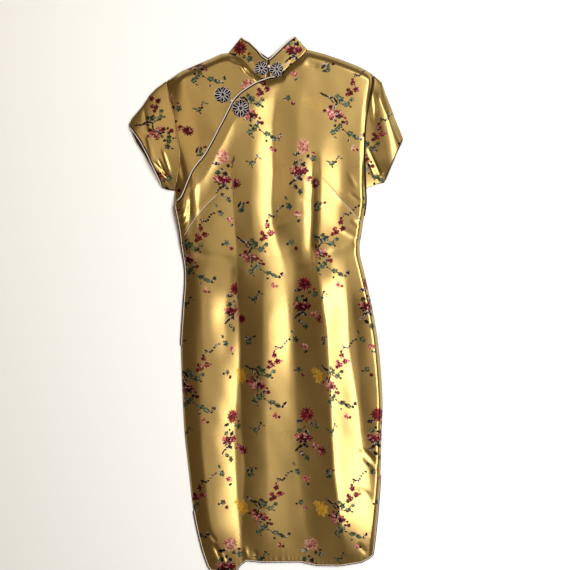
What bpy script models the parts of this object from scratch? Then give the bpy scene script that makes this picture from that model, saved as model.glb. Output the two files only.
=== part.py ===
"""Cheongsam dress laid flat on its back: every cut piece as a cloth wall at its real size.

Blender works in metres with +Z up. +X is the right of the front view and +Y runs from the
hem to the collar. The tables are in millimetres on the dress: x from the middle of the
front, y up from the lowest point of the hem, z up from the surface that the dress lies on.
"""

import math
from collections import namedtuple

import bmesh
import bpy
from mathutils import Vector
from mathutils.bvhtree import BVHTree

MM = 0.001
WALL = 1.2
SEAM_GAP = 0.3
EDGE_CLEARANCE = 1.2
MIDDLE_X = 2.02
MIDDLE_Y = 537.13

BACK_Z = WALL / 2
FRONT_EDGE_Z = WALL + SEAM_GAP + WALL / 2
LOFT = 12.0
HEM_LOFT_SHARE = 0.25
OVERLAP_LIFT = 3.2
OVERLAP_WIDTH = 36.0
SIDE_OPENING_END = 454.0
SLIT_TOP_LEFT = 122.0
SLIT_TOP_RIGHT = 198.0

PanelGrid = namedtuple("PanelGrid", "columns rows_below rows_beside_armhole")
FRONT_GRID = PanelGrid(24, 24, 14)
RIGHT_FRONT_GRID = PanelGrid(10, 2, 12)
BACK_GRID = PanelGrid(6, 9, 13)
UNDERARM_SHARE = 0.77
SLEEVE_GRID = (7, 12)
COLLAR_ROWS = 3

PIPING_RADIUS = 1.1
HEM_PIPING_RADIUS = 0.9
PIPING_SIDES = 6
FROG_PETALS = 11
FROG_THICKNESS = 3.0

Outline = namedtuple("Outline", "height left right")
BODY_OUTLINE = (
    Outline(0, -110, 210), Outline(46, -126, 218), Outline(118, -142, 226),
    Outline(202, -152, 232), Outline(274, -160, 234), Outline(346, -164, 236),
    Outline(454, -168, 228), Outline(526, -164, 216), Outline(598, -160, 200),
    Outline(646, -166, 190), Outline(694, -172, 196), Outline(742, -181, 203),
    Outline(770, -180, 202), Outline(836, -170, 199), Outline(886, -178, 200),
    Outline(920, -183, 204), Outline(952, -192, 211), Outline(984, -197, 217),
    Outline(1000, -198, 216),
)

EdgePoint = namedtuple("EdgePoint", "x y")
HEM = tuple(EdgePoint(*row) for row in (
    (-112, 4), (-80, 0), (-58, 2), (-50, 14), (-38, 23), (-6, 20), (70, 21),
    (104, 14), (150, 14), (194, 21), (214, 31),
))
OPENING = tuple(EdgePoint(*row) for row in (
    (-184, 738), (-166, 752), (-154, 780), (-142, 806), (-120, 834), (-104, 862),
    (-88, 893), (-80, 908), (-66, 936), (-60, 946), (-48, 958), (-28, 972),
    (-8, 983), (8, 990), (24, 992),
))
RIGHT_NECK = tuple(EdgePoint(*row) for row in (
    (38, 998), (44, 1011), (54, 1020), (72, 1034), (84, 1049),
))
RIGHT_SHOULDER = tuple(EdgePoint(*row) for row in (
    (120, 1040), (160, 1026), (190, 1014), (208, 1004), (220, 996),
))
LEFT_SHOULDER = tuple(EdgePoint(*row) for row in (
    (-202, 982), (-184, 994), (-166, 1006), (-138, 1018), (-110, 1030), (-88, 1040), (-73, 1042),
))
LEFT_NECK = tuple(EdgePoint(*row) for row in (
    (-48, 1030), (-36, 1018), (-24, 1002), (-8, 990), (4, 986),
))
BACK_NECK = tuple(EdgePoint(*row) for row in (
    (-36, 1014), (6, 984), (54, 1017), (84, 1049),
))

Fold = namedtuple("Fold", "name depth left right route")
FOLDS = (
    Fold("left waist dart, then its pressed crease", 9, 64, 48, (
        (-68, 846, 0), (-64, 766, 0.3), (-56, 650, 0.4), (-54, 546, 0.8), (-54, 452, 1),
        (-58, 376, 1), (-62, 266, 1), (-62, 146, 0.9), (-54, 10, 0.7))),
    Fold("bodice, neck to waist", 7, 40, 44, (
        (28, 990, 0.4), (22, 946, 0.9), (16, 896, 1), (18, 786, 1), (14, 676, 0.5), (22, 622, 0))),
    Fold("middle of the skirt", 8, 60, 66, (
        (34, 640, 0), (52, 546, 0.8), (54, 426, 1), (54, 266, 1), (56, 106, 0.9), (58, 10, 0.8))),
    Fold("right waist dart", 4, 18, 22, (
        (97, 846, 0), (95, 776, 1), (92, 652, 1), (100, 614, 0.9), (118, 498, 0))),
    Fold("right of the bodice", 4, 40, 26, (
        (150, 896, 0), (156, 826, 1), (154, 746, 1), (150, 666, 0))),
    Fold("right of the skirt", 8, 54, 30, (
        (160, 596, 0), (164, 526, 1), (166, 446, 1), (180, 366, 1), (192, 286, 1),
        (208, 206, 0.8), (218, 126, 0.5), (222, 60, 0.2))),
    Fold("left bust dart", 3, 12, 14, (
        (-96, 754, 0.2), (-116, 735, 1), (-134, 714, 1), (-148, 694, 1), (-160, 674, 0.6))),
    Fold("right bust dart", 3, 14, 12, (
        (114, 790, 0.1), (154, 746, 1), (196, 700, 0.8))),
)
FOLD_SHARPNESS = 1.2

Sleeve = namedtuple("Sleeve", "name side top_edge under_edge front_hem back_hem bulge")
SLEEVES = (
    Sleeve("sleeve_left", -1,
           ((-199, 984), (-218, 970), (-230, 958), (-246, 934), (-266, 910), (-273, 897)),
           ((-182, 767), (-194, 768), (-206, 772)),
           ((-273, 897), (-250, 866), (-234, 836), (-222, 810), (-210, 784), (-206, 772)),
           ((-273, 897), (-258, 862), (-242, 838), (-228, 814), (-214, 790), (-206, 772)),
           9.0),
    Sleeve("sleeve_right", 1,
           ((218, 996), (234, 982), (242, 958), (252, 934), (260, 910), (270, 886), (277, 868)),
           ((204, 771), (222, 779), (240, 783)),
           ((277, 868), (262, 838), (250, 808), (240, 783)),
           ((277, 868), (262, 838), (250, 808), (240, 783)),
           7.0),
)
SLEEVE_FOLD_Z = 2.4

CollarStation = namedtuple("CollarStation", "base_x base_y base_z top_x top_y top_z")
COLLAR = tuple(CollarStation(*row) for row in (
    (2.0, 991.6, 3.4, 5.0, 1026, 6.4),
    (-8, 993.0, 3.4, -6, 1033, 6.2),
    (-24, 1004, 3.2, -16, 1046, 5.6),
    (-36, 1020, 3.2, -32, 1062, 4.6),
    (-48, 1031.6, 3.1, -42, 1067, 3.8),
    (-71, 1043.5, 3.0, -48, 1072, 3.0),
    (-72.2, 1044.5, 1.8, -49, 1073, 1.8),
    (-71, 1043.5, 0.6, -47, 1072, 0.6),
    (-36, 1015.4, 0.6, -26, 1054, 0.6),
    (6, 985.4, 0.6, 6, 1031, 0.6),
    (54, 1018.6, 0.6, 40, 1052, 0.6),
    (83, 1050.4, 0.6, 60, 1074, 0.6),
    (84.2, 1051.4, 1.8, 61.5, 1075, 1.8),
    (83, 1050.4, 3.0, 61, 1074, 3.0),
    (72, 1035.8, 3.2, 50, 1066, 4.0),
    (54, 1022, 3.6, 38, 1055, 4.8),
    (42.6, 1012, 4.2, 30, 1047, 5.6),
    (26, 997.0, 4.6, 19, 1036, 6.2),
    (9, 994.8, 4.8, 9, 1027, 6.4),
))

Frog = namedtuple("Frog", "name x y radius turn")
FROGS = (
    Frog("frog_collar_left", -7.2, 1010, 14.0, 0.10),
    Frog("frog_collar_right", 23.4, 1008, 14.0, 0.35),
    Frog("frog_chest_left", -84.0, 955, 16.0, 0.20),
    Frog("frog_chest_right", -48.0, 927, 17.0, 0.45),
)
Knot = namedtuple("Knot", "name x y radius")
KNOTS = (
    Knot("knot_collar", 7.6, 1013, 3.0),
    Knot("knot_chest", -66.0, 942, 2.6),
)

Finish = namedtuple("Finish", "colour roughness metallic")
GOLD_SATIN = Finish((0.52, 0.34, 0.09), 0.38, 0.35)
PALE_SATIN = Finish((0.74, 0.66, 0.56), 0.40, 0.10)
LAVENDER_CORD = Finish((0.55, 0.50, 0.60), 0.50, 0.05)


def clamp(value, low=0.0, high=1.0):
    return max(low, min(high, value))


def ease(value):
    """Rises from 0 to 1 like a quarter of a sine wave."""
    return math.sin(clamp(value) * math.pi / 2)


def along(points, key):
    """Value at key on a smooth line through (key, value) pairs sorted by key."""
    if key <= points[0][0]:
        return points[0][1]
    if key >= points[-1][0]:
        return points[-1][1]
    index = max(i for i in range(len(points) - 1) if points[i][0] <= key)
    x0, y0 = points[index]
    x1, y1 = points[index + 1]
    before = points[index - 1] if index else points[index]
    after = points[index + 2] if index + 2 < len(points) else points[index + 1]
    slope0 = (y1 - before[1]) / (x1 - before[0])
    slope1 = (after[1] - y0) / (after[0] - x0)
    span = x1 - x0
    t = (key - x0) / span
    return (
        y0 * (1 + 2 * t) * (1 - t) ** 2 + slope0 * span * t * (1 - t) ** 2
        + y1 * t * t * (3 - 2 * t) + slope1 * span * t * t * (t - 1)
    )


LEFT_SIDE = [(row.height, row.left) for row in BODY_OUTLINE]
RIGHT_SIDE = [(row.height, row.right) for row in BODY_OUTLINE]
FRONT_TOP = OPENING + RIGHT_NECK + RIGHT_SHOULDER
RIGHT_FRONT_TOP = LEFT_SHOULDER + LEFT_NECK
BACK_TOP = LEFT_SHOULDER + BACK_NECK + RIGHT_SHOULDER
FULL_TOP = LEFT_SHOULDER + LEFT_NECK + (EdgePoint(24, 992),) + RIGHT_NECK + RIGHT_SHOULDER


def straight(points, key):
    """Value at key on the straight lines through (key, value) pairs sorted by key."""
    if key <= points[0][0]:
        return points[0][1]
    for (x0, y0), (x1, y1) in zip(points, points[1:]):
        if key <= x1:
            return y0 + (y1 - y0) * (key - x0) / (x1 - x0)
    return points[-1][1]


def fold_depth(fold, x, y):
    """How far one fold lowers the cloth at a place: a sharp line with a slope on each side."""
    best = None
    for (x0, y0, share0), (x1, y1, share1) in zip(fold.route, fold.route[1:]):
        dx, dy = x1 - x0, y1 - y0
        t = clamp(((x - x0) * dx + (y - y0) * dy) / (dx * dx + dy * dy))
        off_x, off_y = x - x0 - t * dx, y - y0 - t * dy
        distance = math.hypot(off_x, off_y)
        if best is None or distance < best[0]:
            right_of_route = dx * off_y - dy * off_x > 0
            best = (distance, fold.right if right_of_route else fold.left,
                    share0 + (share1 - share0) * t)
    distance, width, share = best
    return fold.depth * share * clamp(1 - distance / width) ** FOLD_SHARPNESS


def cloth_height(x, y):
    """Middle of the front's wall where nothing lies under it but the back."""
    from_left = ease((x - along(LEFT_SIDE, y)) / 44)
    from_right = ease((along(RIGHT_SIDE, y) - x) / 26)
    from_top = ease((straight(FULL_TOP, x) - y) / 55)
    from_hem = HEM_LOFT_SHARE + (1 - HEM_LOFT_SHARE) * ease((y - straight(HEM, x)) / 110)
    share = from_left * from_right * from_top * from_hem
    lowered = sum(fold_depth(fold, x, y) for fold in FOLDS)
    return FRONT_EDGE_Z + share * max(LOFT - lowered, 0.5)


def overlap_lift(x, y):
    """Raises the main front where the small right front lies under it."""
    below = straight(OPENING, x) - y
    fade = 1 - ease((below - OVERLAP_WIDTH - 6) / 44)
    return OVERLAP_LIFT * fade * (1 - ease((x - 24) / 44))


def front_height(x, y):
    return cloth_height(x, y) + overlap_lift(x, y)


def back_height(x, y):
    return BACK_Z


def to_world(x, y, z):
    return Vector(((x - MIDDLE_X) * MM, (y - MIDDLE_Y) * MM, z * MM))


def panel_column(share, left, right, bottom, top):
    """Lower and upper ends of one column of a panel, each found where it meets the edge."""
    def x_at(y):
        return left(y) + (right(y) - left(y)) * share

    ends = []
    for edge in (bottom, top):
        y = edge(x_at(500.0))
        for _ in range(60):
            y += 0.5 * (edge(x_at(y)) - y)
        ends.append(y)
    return x_at, ends[0], ends[1]


def column_shares(columns, corners, left, right):
    """Evenly spaced columns, with the nearest ones moved on to the corners of the outline."""
    fixed = sorted((point.x - left(point.y)) / (right(point.y) - left(point.y)) for point in corners)
    fixed = [share for share in fixed if 0.01 < share < 0.99]
    shares = [0.0, *fixed, 1.0]
    for column in range(1, columns):
        share = column / columns
        if min(abs(share - other) for other in shares) > 0.55 / columns:
            shares.append(share)
    return sorted(shares)


def row_shares(grid_size, underarm_share):
    """Rows below the underarm, then closer rows beside the armhole."""
    below, beside = grid_size.rows_below, grid_size.rows_beside_armhole
    shares = [underarm_share * row / below for row in range(below)]
    return shares + [underarm_share + (1 - underarm_share) * row / beside for row in range(beside + 1)]


def panel_points(grid_size, underarm_share, corners, left, right, bottom, top, height):
    """Grid of (x, y, z) points of a panel between four edges."""
    grid = []
    rows = row_shares(grid_size, underarm_share)
    for share in column_shares(grid_size.columns, corners, left, right):
        x_at, low, high = panel_column(share, left, right, bottom, top)
        line = []
        for row in rows:
            y = low + (high - low) * row
            x = x_at(y)
            line.append((x, y, height(x, y)))
        grid.append(line)
    return grid


def finish_material(obj, finish):
    material = bpy.data.materials.new(obj.name)
    material.use_nodes = True
    shader = material.node_tree.nodes["Principled BSDF"]
    shader.inputs["Base Color"].default_value = (*finish.colour, 1.0)
    shader.inputs["Roughness"].default_value = finish.roughness
    shader.inputs["Metallic"].default_value = finish.metallic
    material.diffuse_color = (*finish.colour, 1.0)
    obj.data.materials.append(material)


def make_object(name, mesh_builder, finish):
    """Object from a filled bmesh, shaded smooth."""
    mesh = bpy.data.meshes.new(name)
    mesh_builder.to_mesh(mesh)
    mesh_builder.free()
    mesh.shade_smooth()
    obj = bpy.data.objects.new(name, mesh)
    bpy.context.scene.collection.objects.link(obj)
    finish_material(obj, finish)
    return obj


def thicken(obj):
    """Gives a sheet its cloth wall, half to each side."""
    wall = obj.modifiers.new("cloth wall", "SOLIDIFY")
    wall.thickness = WALL * MM
    wall.offset = 0.0


def sheet(name, grid, finish, closed=False):
    """Cloth piece from a grid of points; closed joins the last column to the first."""
    builder = bmesh.new()
    lines = [[builder.verts.new(to_world(*point)) for point in line] for line in grid]
    pairs = list(zip(lines, lines[1:]))
    if closed:
        pairs.append((lines[-1], lines[0]))
    for first, second in pairs:
        for row in range(len(first) - 1):
            builder.faces.new((first[row], second[row], second[row + 1], first[row + 1]))
    obj = make_object(name, builder, finish)
    thicken(obj)
    return obj


def tube(name, route, radius, finish):
    """Round cord with flat ends along a list of (x, y, z) points."""
    builder = bmesh.new()
    points = [Vector(point) for point in route]
    rings = []
    for index, point in enumerate(points):
        before = points[max(index - 1, 0)]
        after = points[min(index + 1, len(points) - 1)]
        forward = (after - before).normalized()
        side = forward.cross(Vector((0, 0, 1))).normalized()
        up = side.cross(forward)
        ring = []
        for step in range(PIPING_SIDES):
            angle = 2 * math.pi * step / PIPING_SIDES
            offset = side * math.cos(angle) + up * math.sin(angle)
            ring.append(builder.verts.new(to_world(*(point + offset * radius))))
        rings.append(ring)
    for first, second in zip(rings, rings[1:]):
        for step in range(PIPING_SIDES):
            after = (step + 1) % PIPING_SIDES
            builder.faces.new((first[step], first[after], second[after], second[step]))
    builder.faces.new(reversed(rings[0]))
    builder.faces.new(rings[-1])
    bmesh.ops.recalc_face_normals(builder, faces=builder.faces)
    return make_object(name, builder, finish)


def moved_out(edge, distance, outside):
    """Moves a line of points sideways on the surface, away from the piece that it edges."""
    points = [Vector(point) for point in edge]
    moved = []
    for index, point in enumerate(points):
        before = points[max(index - 1, 0)]
        after = points[min(index + 1, len(points) - 1)]
        forward = (after - before).normalized()
        sideways = Vector((forward.y, -forward.x, 0)).normalized()
        moved.append(point + sideways * distance * outside)
    return moved


def spaced(edge, step):
    """The same line with a point about every step along it."""
    points = [Vector(point) for point in edge]
    result = [points[0]]
    for start, end in zip(points, points[1:]):
        pieces = max(1, round((end - start).length / step))
        for piece in range(1, pieces + 1):
            result.append(start.lerp(end, piece / pieces))
    return result


def build_panels():
    def left(y):
        return along(LEFT_SIDE, y)

    def right(y):
        return along(RIGHT_SIDE, y)

    front_corners = (*OPENING[3:-1:2], OPENING[-1], *RIGHT_NECK, *HEM[2:5])
    front = panel_points(FRONT_GRID, UNDERARM_SHARE, front_corners, left, right, lambda x: straight(HEM, x),
                         lambda x: straight(FRONT_TOP, x), front_height)
    sheet("front_panel", front, GOLD_SATIN)
    right_front = panel_points(RIGHT_FRONT_GRID, 0.22, (LEFT_SHOULDER[-1], *LEFT_NECK[:-1]),
                               left, lambda y: LEFT_NECK[-1].x,
                               lambda x: straight(OPENING, x) - OVERLAP_WIDTH,
                               lambda x: straight(RIGHT_FRONT_TOP, x), cloth_height)
    sheet("right_front", right_front, GOLD_SATIN)
    back_corners = (LEFT_SHOULDER[-1], *BACK_NECK)
    back = panel_points(BACK_GRID, UNDERARM_SHARE, back_corners, left, right, lambda x: straight(HEM, x),
                        lambda x: straight(BACK_TOP, x), back_height)
    sheet("back_panel", back, GOLD_SATIN)
    return front


def line_point(points, share):
    """Point at a share of the length of a line of (x, y) points."""
    lengths = [math.dist(a, b) for a, b in zip(points, points[1:])]
    target = share * sum(lengths)
    for start, end, length in zip(points, points[1:], lengths):
        if target <= length:
            t = target / length
            return (start[0] + (end[0] - start[0]) * t, start[1] + (end[1] - start[1]) * t)
        target -= length
    return points[-1]


def sleeve_layer_point(sleeve, hem, out, down):
    """Point on one layer: out runs from armhole to hem, down from the top fold to the underarm."""
    side = LEFT_SIDE if sleeve.side < 0 else RIGHT_SIDE
    top_y, low_y = sleeve.top_edge[0][1], sleeve.under_edge[0][1]
    seam_y = top_y + (low_y - top_y) * down
    seam = (along(side, seam_y) + sleeve.side * EDGE_CLEARANCE, seam_y)
    cuff = line_point(hem, down)
    over = line_point(sleeve.top_edge, out)
    under = line_point(sleeve.under_edge, out)
    point = []
    for axis in (0, 1):
        corners = (
            (1 - out) * (1 - down) * sleeve.top_edge[0][axis]
            + out * (1 - down) * sleeve.top_edge[-1][axis]
            + (1 - out) * down * sleeve.under_edge[0][axis]
            + out * down * sleeve.under_edge[-1][axis]
        )
        point.append((1 - out) * seam[axis] + out * cuff[axis]
                     + (1 - down) * over[axis] + down * under[axis] - corners)
    return point


def sleeve_front_z(sleeve, out, down):
    swell = sleeve.bulge * math.sin(math.pi * clamp(down)) ** 0.8 * (0.3 + 0.7 * ease(out * 1.4))
    creases = 1.1 * math.sin(3 * math.pi * down + 1.2 * out) * math.sin(math.pi * clamp(down))
    return BACK_Z + SLEEVE_FOLD_Z + max(swell + creases * ease(out), 0.0)


def build_sleeve(sleeve):
    """Flattened tube: the front layer, the lower fold, the back layer and the top fold."""
    across, along_rows = SLEEVE_GRID[1], SLEEVE_GRID[0]
    grid = []
    for step in range(across + 1):
        down = step / across
        line = []
        for row in range(along_rows + 1):
            out = row / along_rows
            x, y = sleeve_layer_point(sleeve, sleeve.front_hem, out, down)
            line.append((x, y, sleeve_front_z(sleeve, out, down)))
        grid.append(line)
    fold_out = SLEEVE_FOLD_Z / 2
    low_fold = [(x, y - fold_out, BACK_Z + fold_out) for x, y, _ in grid[-1]]
    top_fold = [(x + sleeve.side * fold_out * 0.7, y + fold_out * 0.7, BACK_Z + fold_out)
                for x, y, _ in grid[0]]
    grid.append(low_fold)
    for step in range(across, -1, -1):
        down = step / across
        line = []
        for row in range(along_rows + 1):
            x, y = sleeve_layer_point(sleeve, sleeve.back_hem, row / along_rows, down)
            line.append((x, y, BACK_Z))
        grid.append(line)
    grid.append(top_fold)
    sheet(sleeve.name, grid, GOLD_SATIN, closed=True)


def build_sleeve_piping(sleeve):
    steps = 16
    front = []
    for step in range(steps + 1):
        down = 0.05 + 0.9 * step / steps
        x, y = sleeve_layer_point(sleeve, sleeve.front_hem, 1.0, down)
        front.append((x, y, sleeve_front_z(sleeve, 1.0, down)))
    side = "left" if sleeve.side < 0 else "right"
    reach = PIPING_RADIUS + 0.5
    tube(f"piping_sleeve_{side}", moved_out(front, reach, -sleeve.side), PIPING_RADIUS, PALE_SATIN)
    if sleeve.front_hem != sleeve.back_hem:
        back = []
        for step in range(steps + 1):
            down = 0.16 + 0.68 * step / steps
            x, y = sleeve_layer_point(sleeve, sleeve.back_hem, 1.0, down)
            back.append((x, y, PIPING_RADIUS))
        tube(f"piping_sleeve_{side}_back", moved_out(back, reach, -sleeve.side), PIPING_RADIUS,
             PALE_SATIN)


def build_collar():
    """Band folded flat at both sides of the neck, its ends meeting at the front."""
    grid = []
    for station in COLLAR:
        line = []
        for row in range(COLLAR_ROWS + 1):
            share = row / COLLAR_ROWS
            line.append((
                station.base_x + (station.top_x - station.base_x) * share,
                station.base_y + (station.top_y - station.base_y) * share,
                station.base_z + (station.top_z - station.base_z) * share,
            ))
        grid.append(line)
    sheet("collar", grid, GOLD_SATIN)


def build_collar_piping():
    reach = PIPING_RADIUS + 0.5
    tops = [(row.top_x, row.top_y, row.top_z) for row in COLLAR]
    left = spaced(tops[0:6], 9)
    right = spaced(tops[13:19], 9)
    back = spaced([(x, y, PIPING_RADIUS) for x, y, _ in tops[8:11]], 12)
    tube("piping_collar_left", moved_out(left, reach, 1), PIPING_RADIUS, PALE_SATIN)
    tube("piping_collar_right", moved_out(right, reach, 1), PIPING_RADIUS, PALE_SATIN)
    tube("piping_collar_back", moved_out(back, reach, -1), PIPING_RADIUS, PALE_SATIN)


def beside_front(edge, radius):
    """Route of a piping along edge points of the main front, clear above the back."""
    lowest = WALL + SEAM_GAP + radius
    route = moved_out(edge, radius + 0.5, 1)
    for point in route:
        point.z = max(point.z, lowest)
    return route


def build_opening_piping(front):
    """Along the curved edge from the neck to the side, then down the side to the hip."""
    curved = [line[-1] for line in reversed(front) if line[-1][0] < OPENING[-1].x]
    side = [point for point in reversed(front[0][:-1]) if point[1] > SIDE_OPENING_END]
    tube("piping_opening", beside_front(curved + side, PIPING_RADIUS), PIPING_RADIUS, PALE_SATIN)


def build_hem_piping(front):
    """Down the left slit, along the hem and up the right slit."""
    left_slit = [point for point in reversed(front[0][1:]) if point[1] < SLIT_TOP_LEFT]
    hem = [line[0] for line in front]
    right_slit = [point for point in front[-1][1:] if point[1] < SLIT_TOP_RIGHT]
    edge = spaced(left_slit + hem + right_slit, 16)
    tube("piping_hem", beside_front(edge, HEM_PIPING_RADIUS), HEM_PIPING_RADIUS, PALE_SATIN)


def built_trees():
    """Search trees of all that is built so far, for what lies on it."""
    bpy.context.view_layer.update()
    graph = bpy.context.evaluated_depsgraph_get()
    return [BVHTree.FromObject(obj, graph) for obj in bpy.context.scene.objects]


def surface_height(trees, x, y):
    start = to_world(x, y, 100.0)
    hits = [tree.ray_cast(start, Vector((0, 0, -1)))[0] for tree in trees]
    return max((hit.z / MM for hit in hits if hit is not None), default=0.0)


def settled_height(trees, x, y, radius):
    """Lowest centre of a ball that stays a seam gap clear of everything under it."""
    z = 60.0
    reach = radius + SEAM_GAP
    for _ in range(80):
        centre = to_world(x, y, z)
        room = min(tree.find_nearest(centre)[3] / MM for tree in trees) - reach
        z -= room * 0.8
    return z


def build_frog(frog, trees):
    """Flower knot: looped petals as a scalloped disc on the cloth, with a raised middle."""
    builder = bmesh.new()
    rings = ((0.30, 0.0, 1.00), (0.68, 0.04, 0.80), (0.90, 0.12, 0.40))
    steps = FROG_PETALS * 3
    lowest = max(
        surface_height(trees, frog.x + frog.radius * share * math.cos(turn * math.pi / 6),
                       frog.y + frog.radius * share * math.sin(turn * math.pi / 6))
        for share in (0.0, 0.5, 0.95) for turn in range(12)
    )
    base = lowest + SEAM_GAP + 0.15
    lower, upper = [], []
    for share, scallop, thick in rings:
        low_ring, high_ring = [], []
        for step in range(steps):
            angle = 2 * math.pi * step / steps + frog.turn
            wave = 1 + scallop * math.cos(FROG_PETALS * 2 * math.pi * step / steps)
            x = frog.x + frog.radius * share * wave * math.cos(angle)
            y = frog.y + frog.radius * share * wave * math.sin(angle)
            low_ring.append(builder.verts.new(to_world(x, y, base)))
            high_ring.append(builder.verts.new(to_world(x, y, base + FROG_THICKNESS * thick)))
        lower.append(low_ring)
        upper.append(high_ring)
    for rings_of in (lower, upper):
        for first, second in zip(rings_of, rings_of[1:]):
            for step in range(steps):
                after = (step + 1) % steps
                builder.faces.new((first[step], first[after], second[after], second[step]))
        builder.faces.new(rings_of[0])
    for step in range(steps):
        after = (step + 1) % steps
        builder.faces.new((lower[-1][step], lower[-1][after], upper[-1][after], upper[-1][step]))
    bmesh.ops.recalc_face_normals(builder, faces=builder.faces)
    make_object(frog.name, builder, LAVENDER_CORD)


def build_knot(knot, trees):
    """Ball of cord that buttons one side of a pair to the other."""
    builder = bmesh.new()
    bmesh.ops.create_uvsphere(builder, u_segments=12, v_segments=8, radius=knot.radius * MM)
    z = settled_height(trees, knot.x, knot.y, knot.radius)
    bmesh.ops.translate(builder, verts=builder.verts, vec=to_world(knot.x, knot.y, z))
    make_object(knot.name, builder, PALE_SATIN)


def main():
    for obj in list(bpy.data.objects):
        bpy.data.objects.remove(obj, do_unlink=True)
    front = build_panels()
    for sleeve in SLEEVES:
        build_sleeve(sleeve)
        build_sleeve_piping(sleeve)
    build_collar()
    build_collar_piping()
    build_opening_piping(front)
    build_hem_piping(front)
    trees = built_trees()
    for frog in FROGS:
        build_frog(frog, trees)
    trees = built_trees()
    for knot in KNOTS:
        build_knot(knot, trees)


if __name__ == "__main__":
    main()
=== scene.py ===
import math
from collections import namedtuple

import bmesh
import bpy
import numpy as np
from bpy.props import FloatProperty, FloatVectorProperty, PointerProperty
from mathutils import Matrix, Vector


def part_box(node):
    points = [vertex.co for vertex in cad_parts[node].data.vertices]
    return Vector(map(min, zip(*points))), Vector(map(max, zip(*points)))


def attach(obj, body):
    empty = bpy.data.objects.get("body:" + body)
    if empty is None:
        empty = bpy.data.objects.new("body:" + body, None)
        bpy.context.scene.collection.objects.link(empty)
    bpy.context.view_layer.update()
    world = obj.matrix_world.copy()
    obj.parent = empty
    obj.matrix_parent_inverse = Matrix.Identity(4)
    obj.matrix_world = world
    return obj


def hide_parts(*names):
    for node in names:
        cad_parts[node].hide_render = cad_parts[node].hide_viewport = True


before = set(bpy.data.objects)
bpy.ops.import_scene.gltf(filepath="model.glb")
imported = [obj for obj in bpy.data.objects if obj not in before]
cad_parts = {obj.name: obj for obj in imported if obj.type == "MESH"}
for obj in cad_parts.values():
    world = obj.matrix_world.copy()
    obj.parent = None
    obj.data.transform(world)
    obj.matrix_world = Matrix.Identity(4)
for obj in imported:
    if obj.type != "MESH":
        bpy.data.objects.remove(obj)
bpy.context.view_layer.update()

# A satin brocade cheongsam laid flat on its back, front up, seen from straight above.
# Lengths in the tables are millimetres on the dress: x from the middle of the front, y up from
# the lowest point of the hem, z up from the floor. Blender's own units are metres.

bl_info = {
    "name": "Satin cheongsam, laid flat",
    "version": (1, 0, 0),
    "blender": (4, 5, 0),
    "location": "3D View > Sidebar > Dress",
    "description": "Builds a gold brocade cheongsam with piping and flower knots, lying flat",
    "category": "Object",
}

MM = 0.001
MIDDLE_X = 2.02
MIDDLE_Y = 537.13
SEAM_GAP = 0.3
CAD_WALL = 1.2
BACK_Z = CAD_WALL / 2
FRONT_EDGE_Z = CAD_WALL * 1.5 + SEAM_GAP
LOFT = 12.0
HEM_LOFT_SHARE = 0.25
OVERLAP_LIFT = 3.2
OVERLAP_WIDTH = 36.0
EDGE_CLEARANCE = 1.2
SIDE_OPENING_END = 454.0
SLIT_TOP_LEFT = 122.0
SLIT_TOP_RIGHT = 198.0
PIPING_GAP = 0.2
LOWEST_PIPING = 2.6
OVERLAP_MARGIN = 6.0
OVERLAP_FADE = 44.0
UNCOVERED_FADE = 10.0
SLEEVE_FOLD_Z = 2.4
SLEEVE_RIPPLE = 1.1
SLEEVE_TOP_FOLD_SHARE = 0.7
FOLD_SHARPNESS = 1.45

# Columns and rows of the grids that the cloth is made from.
FRONT_GRID = (140, 300)
RIGHT_FRONT_GRID = (80, 90)
BACK_GRID = (60, 110)
SLEEVE_GRID = (150, 60)
COLLAR_GRID = (200, 16)
MERGE_DISTANCE = 1e-6
# The height at which the search for a panel's ends starts, and how many steps it takes.
FIRST_HEIGHT, END_STEPS = 500.0, 70

# How far in from each edge the cloth has risen to its full loft; at the left it changes with height.
LEFT_RISE = ((540, 34), (640, 20), (740, 20), (780, 40))
RIGHT_RISE = 11
TOP_RISE = 22
HEM_RISE = 110

# However deep the folds, this much of the loft stays.
LEAST_LOFT = 0.5

# A crease keeps its full height along the first share of its half length and fades over the second.
# Its slopes spread by a share of its width, and it is lower where the cloth has hardly risen.
CREASE_FULL, CREASE_FADE = 0.3, 0.9
CREASE_SPREAD = 0.6
CREASE_RISE = 2.2

# The pulls at the hem and the slits, height and then reach, and the slow waves of the laid cloth.
HEM_PUCKER, HEM_PUCKER_REACH = 0.55, 7.0
SLIT_PUCKER, SLIT_PUCKER_REACH = 0.45, 6.0
SLIT_PUCKER_TOP = 150
LONG_WAVE, SHORT_WAVE = 0.30, 0.15
WAVE_RISE = 40

Outline = namedtuple("Outline", "height left right")
BODY_OUTLINE = (
    Outline(0, -110, 210), Outline(46, -126, 218), Outline(118, -142, 226),
    Outline(202, -152, 232), Outline(274, -160, 234), Outline(346, -164, 236),
    Outline(454, -168, 228), Outline(526, -164, 216), Outline(598, -160, 200),
    Outline(646, -166, 190), Outline(694, -172, 196), Outline(742, -181, 203),
    Outline(770, -180, 202), Outline(836, -170, 199), Outline(886, -178, 200),
    Outline(920, -183, 204), Outline(952, -192, 211), Outline(984, -197, 217),
    Outline(1000, -198, 216),
)

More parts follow.
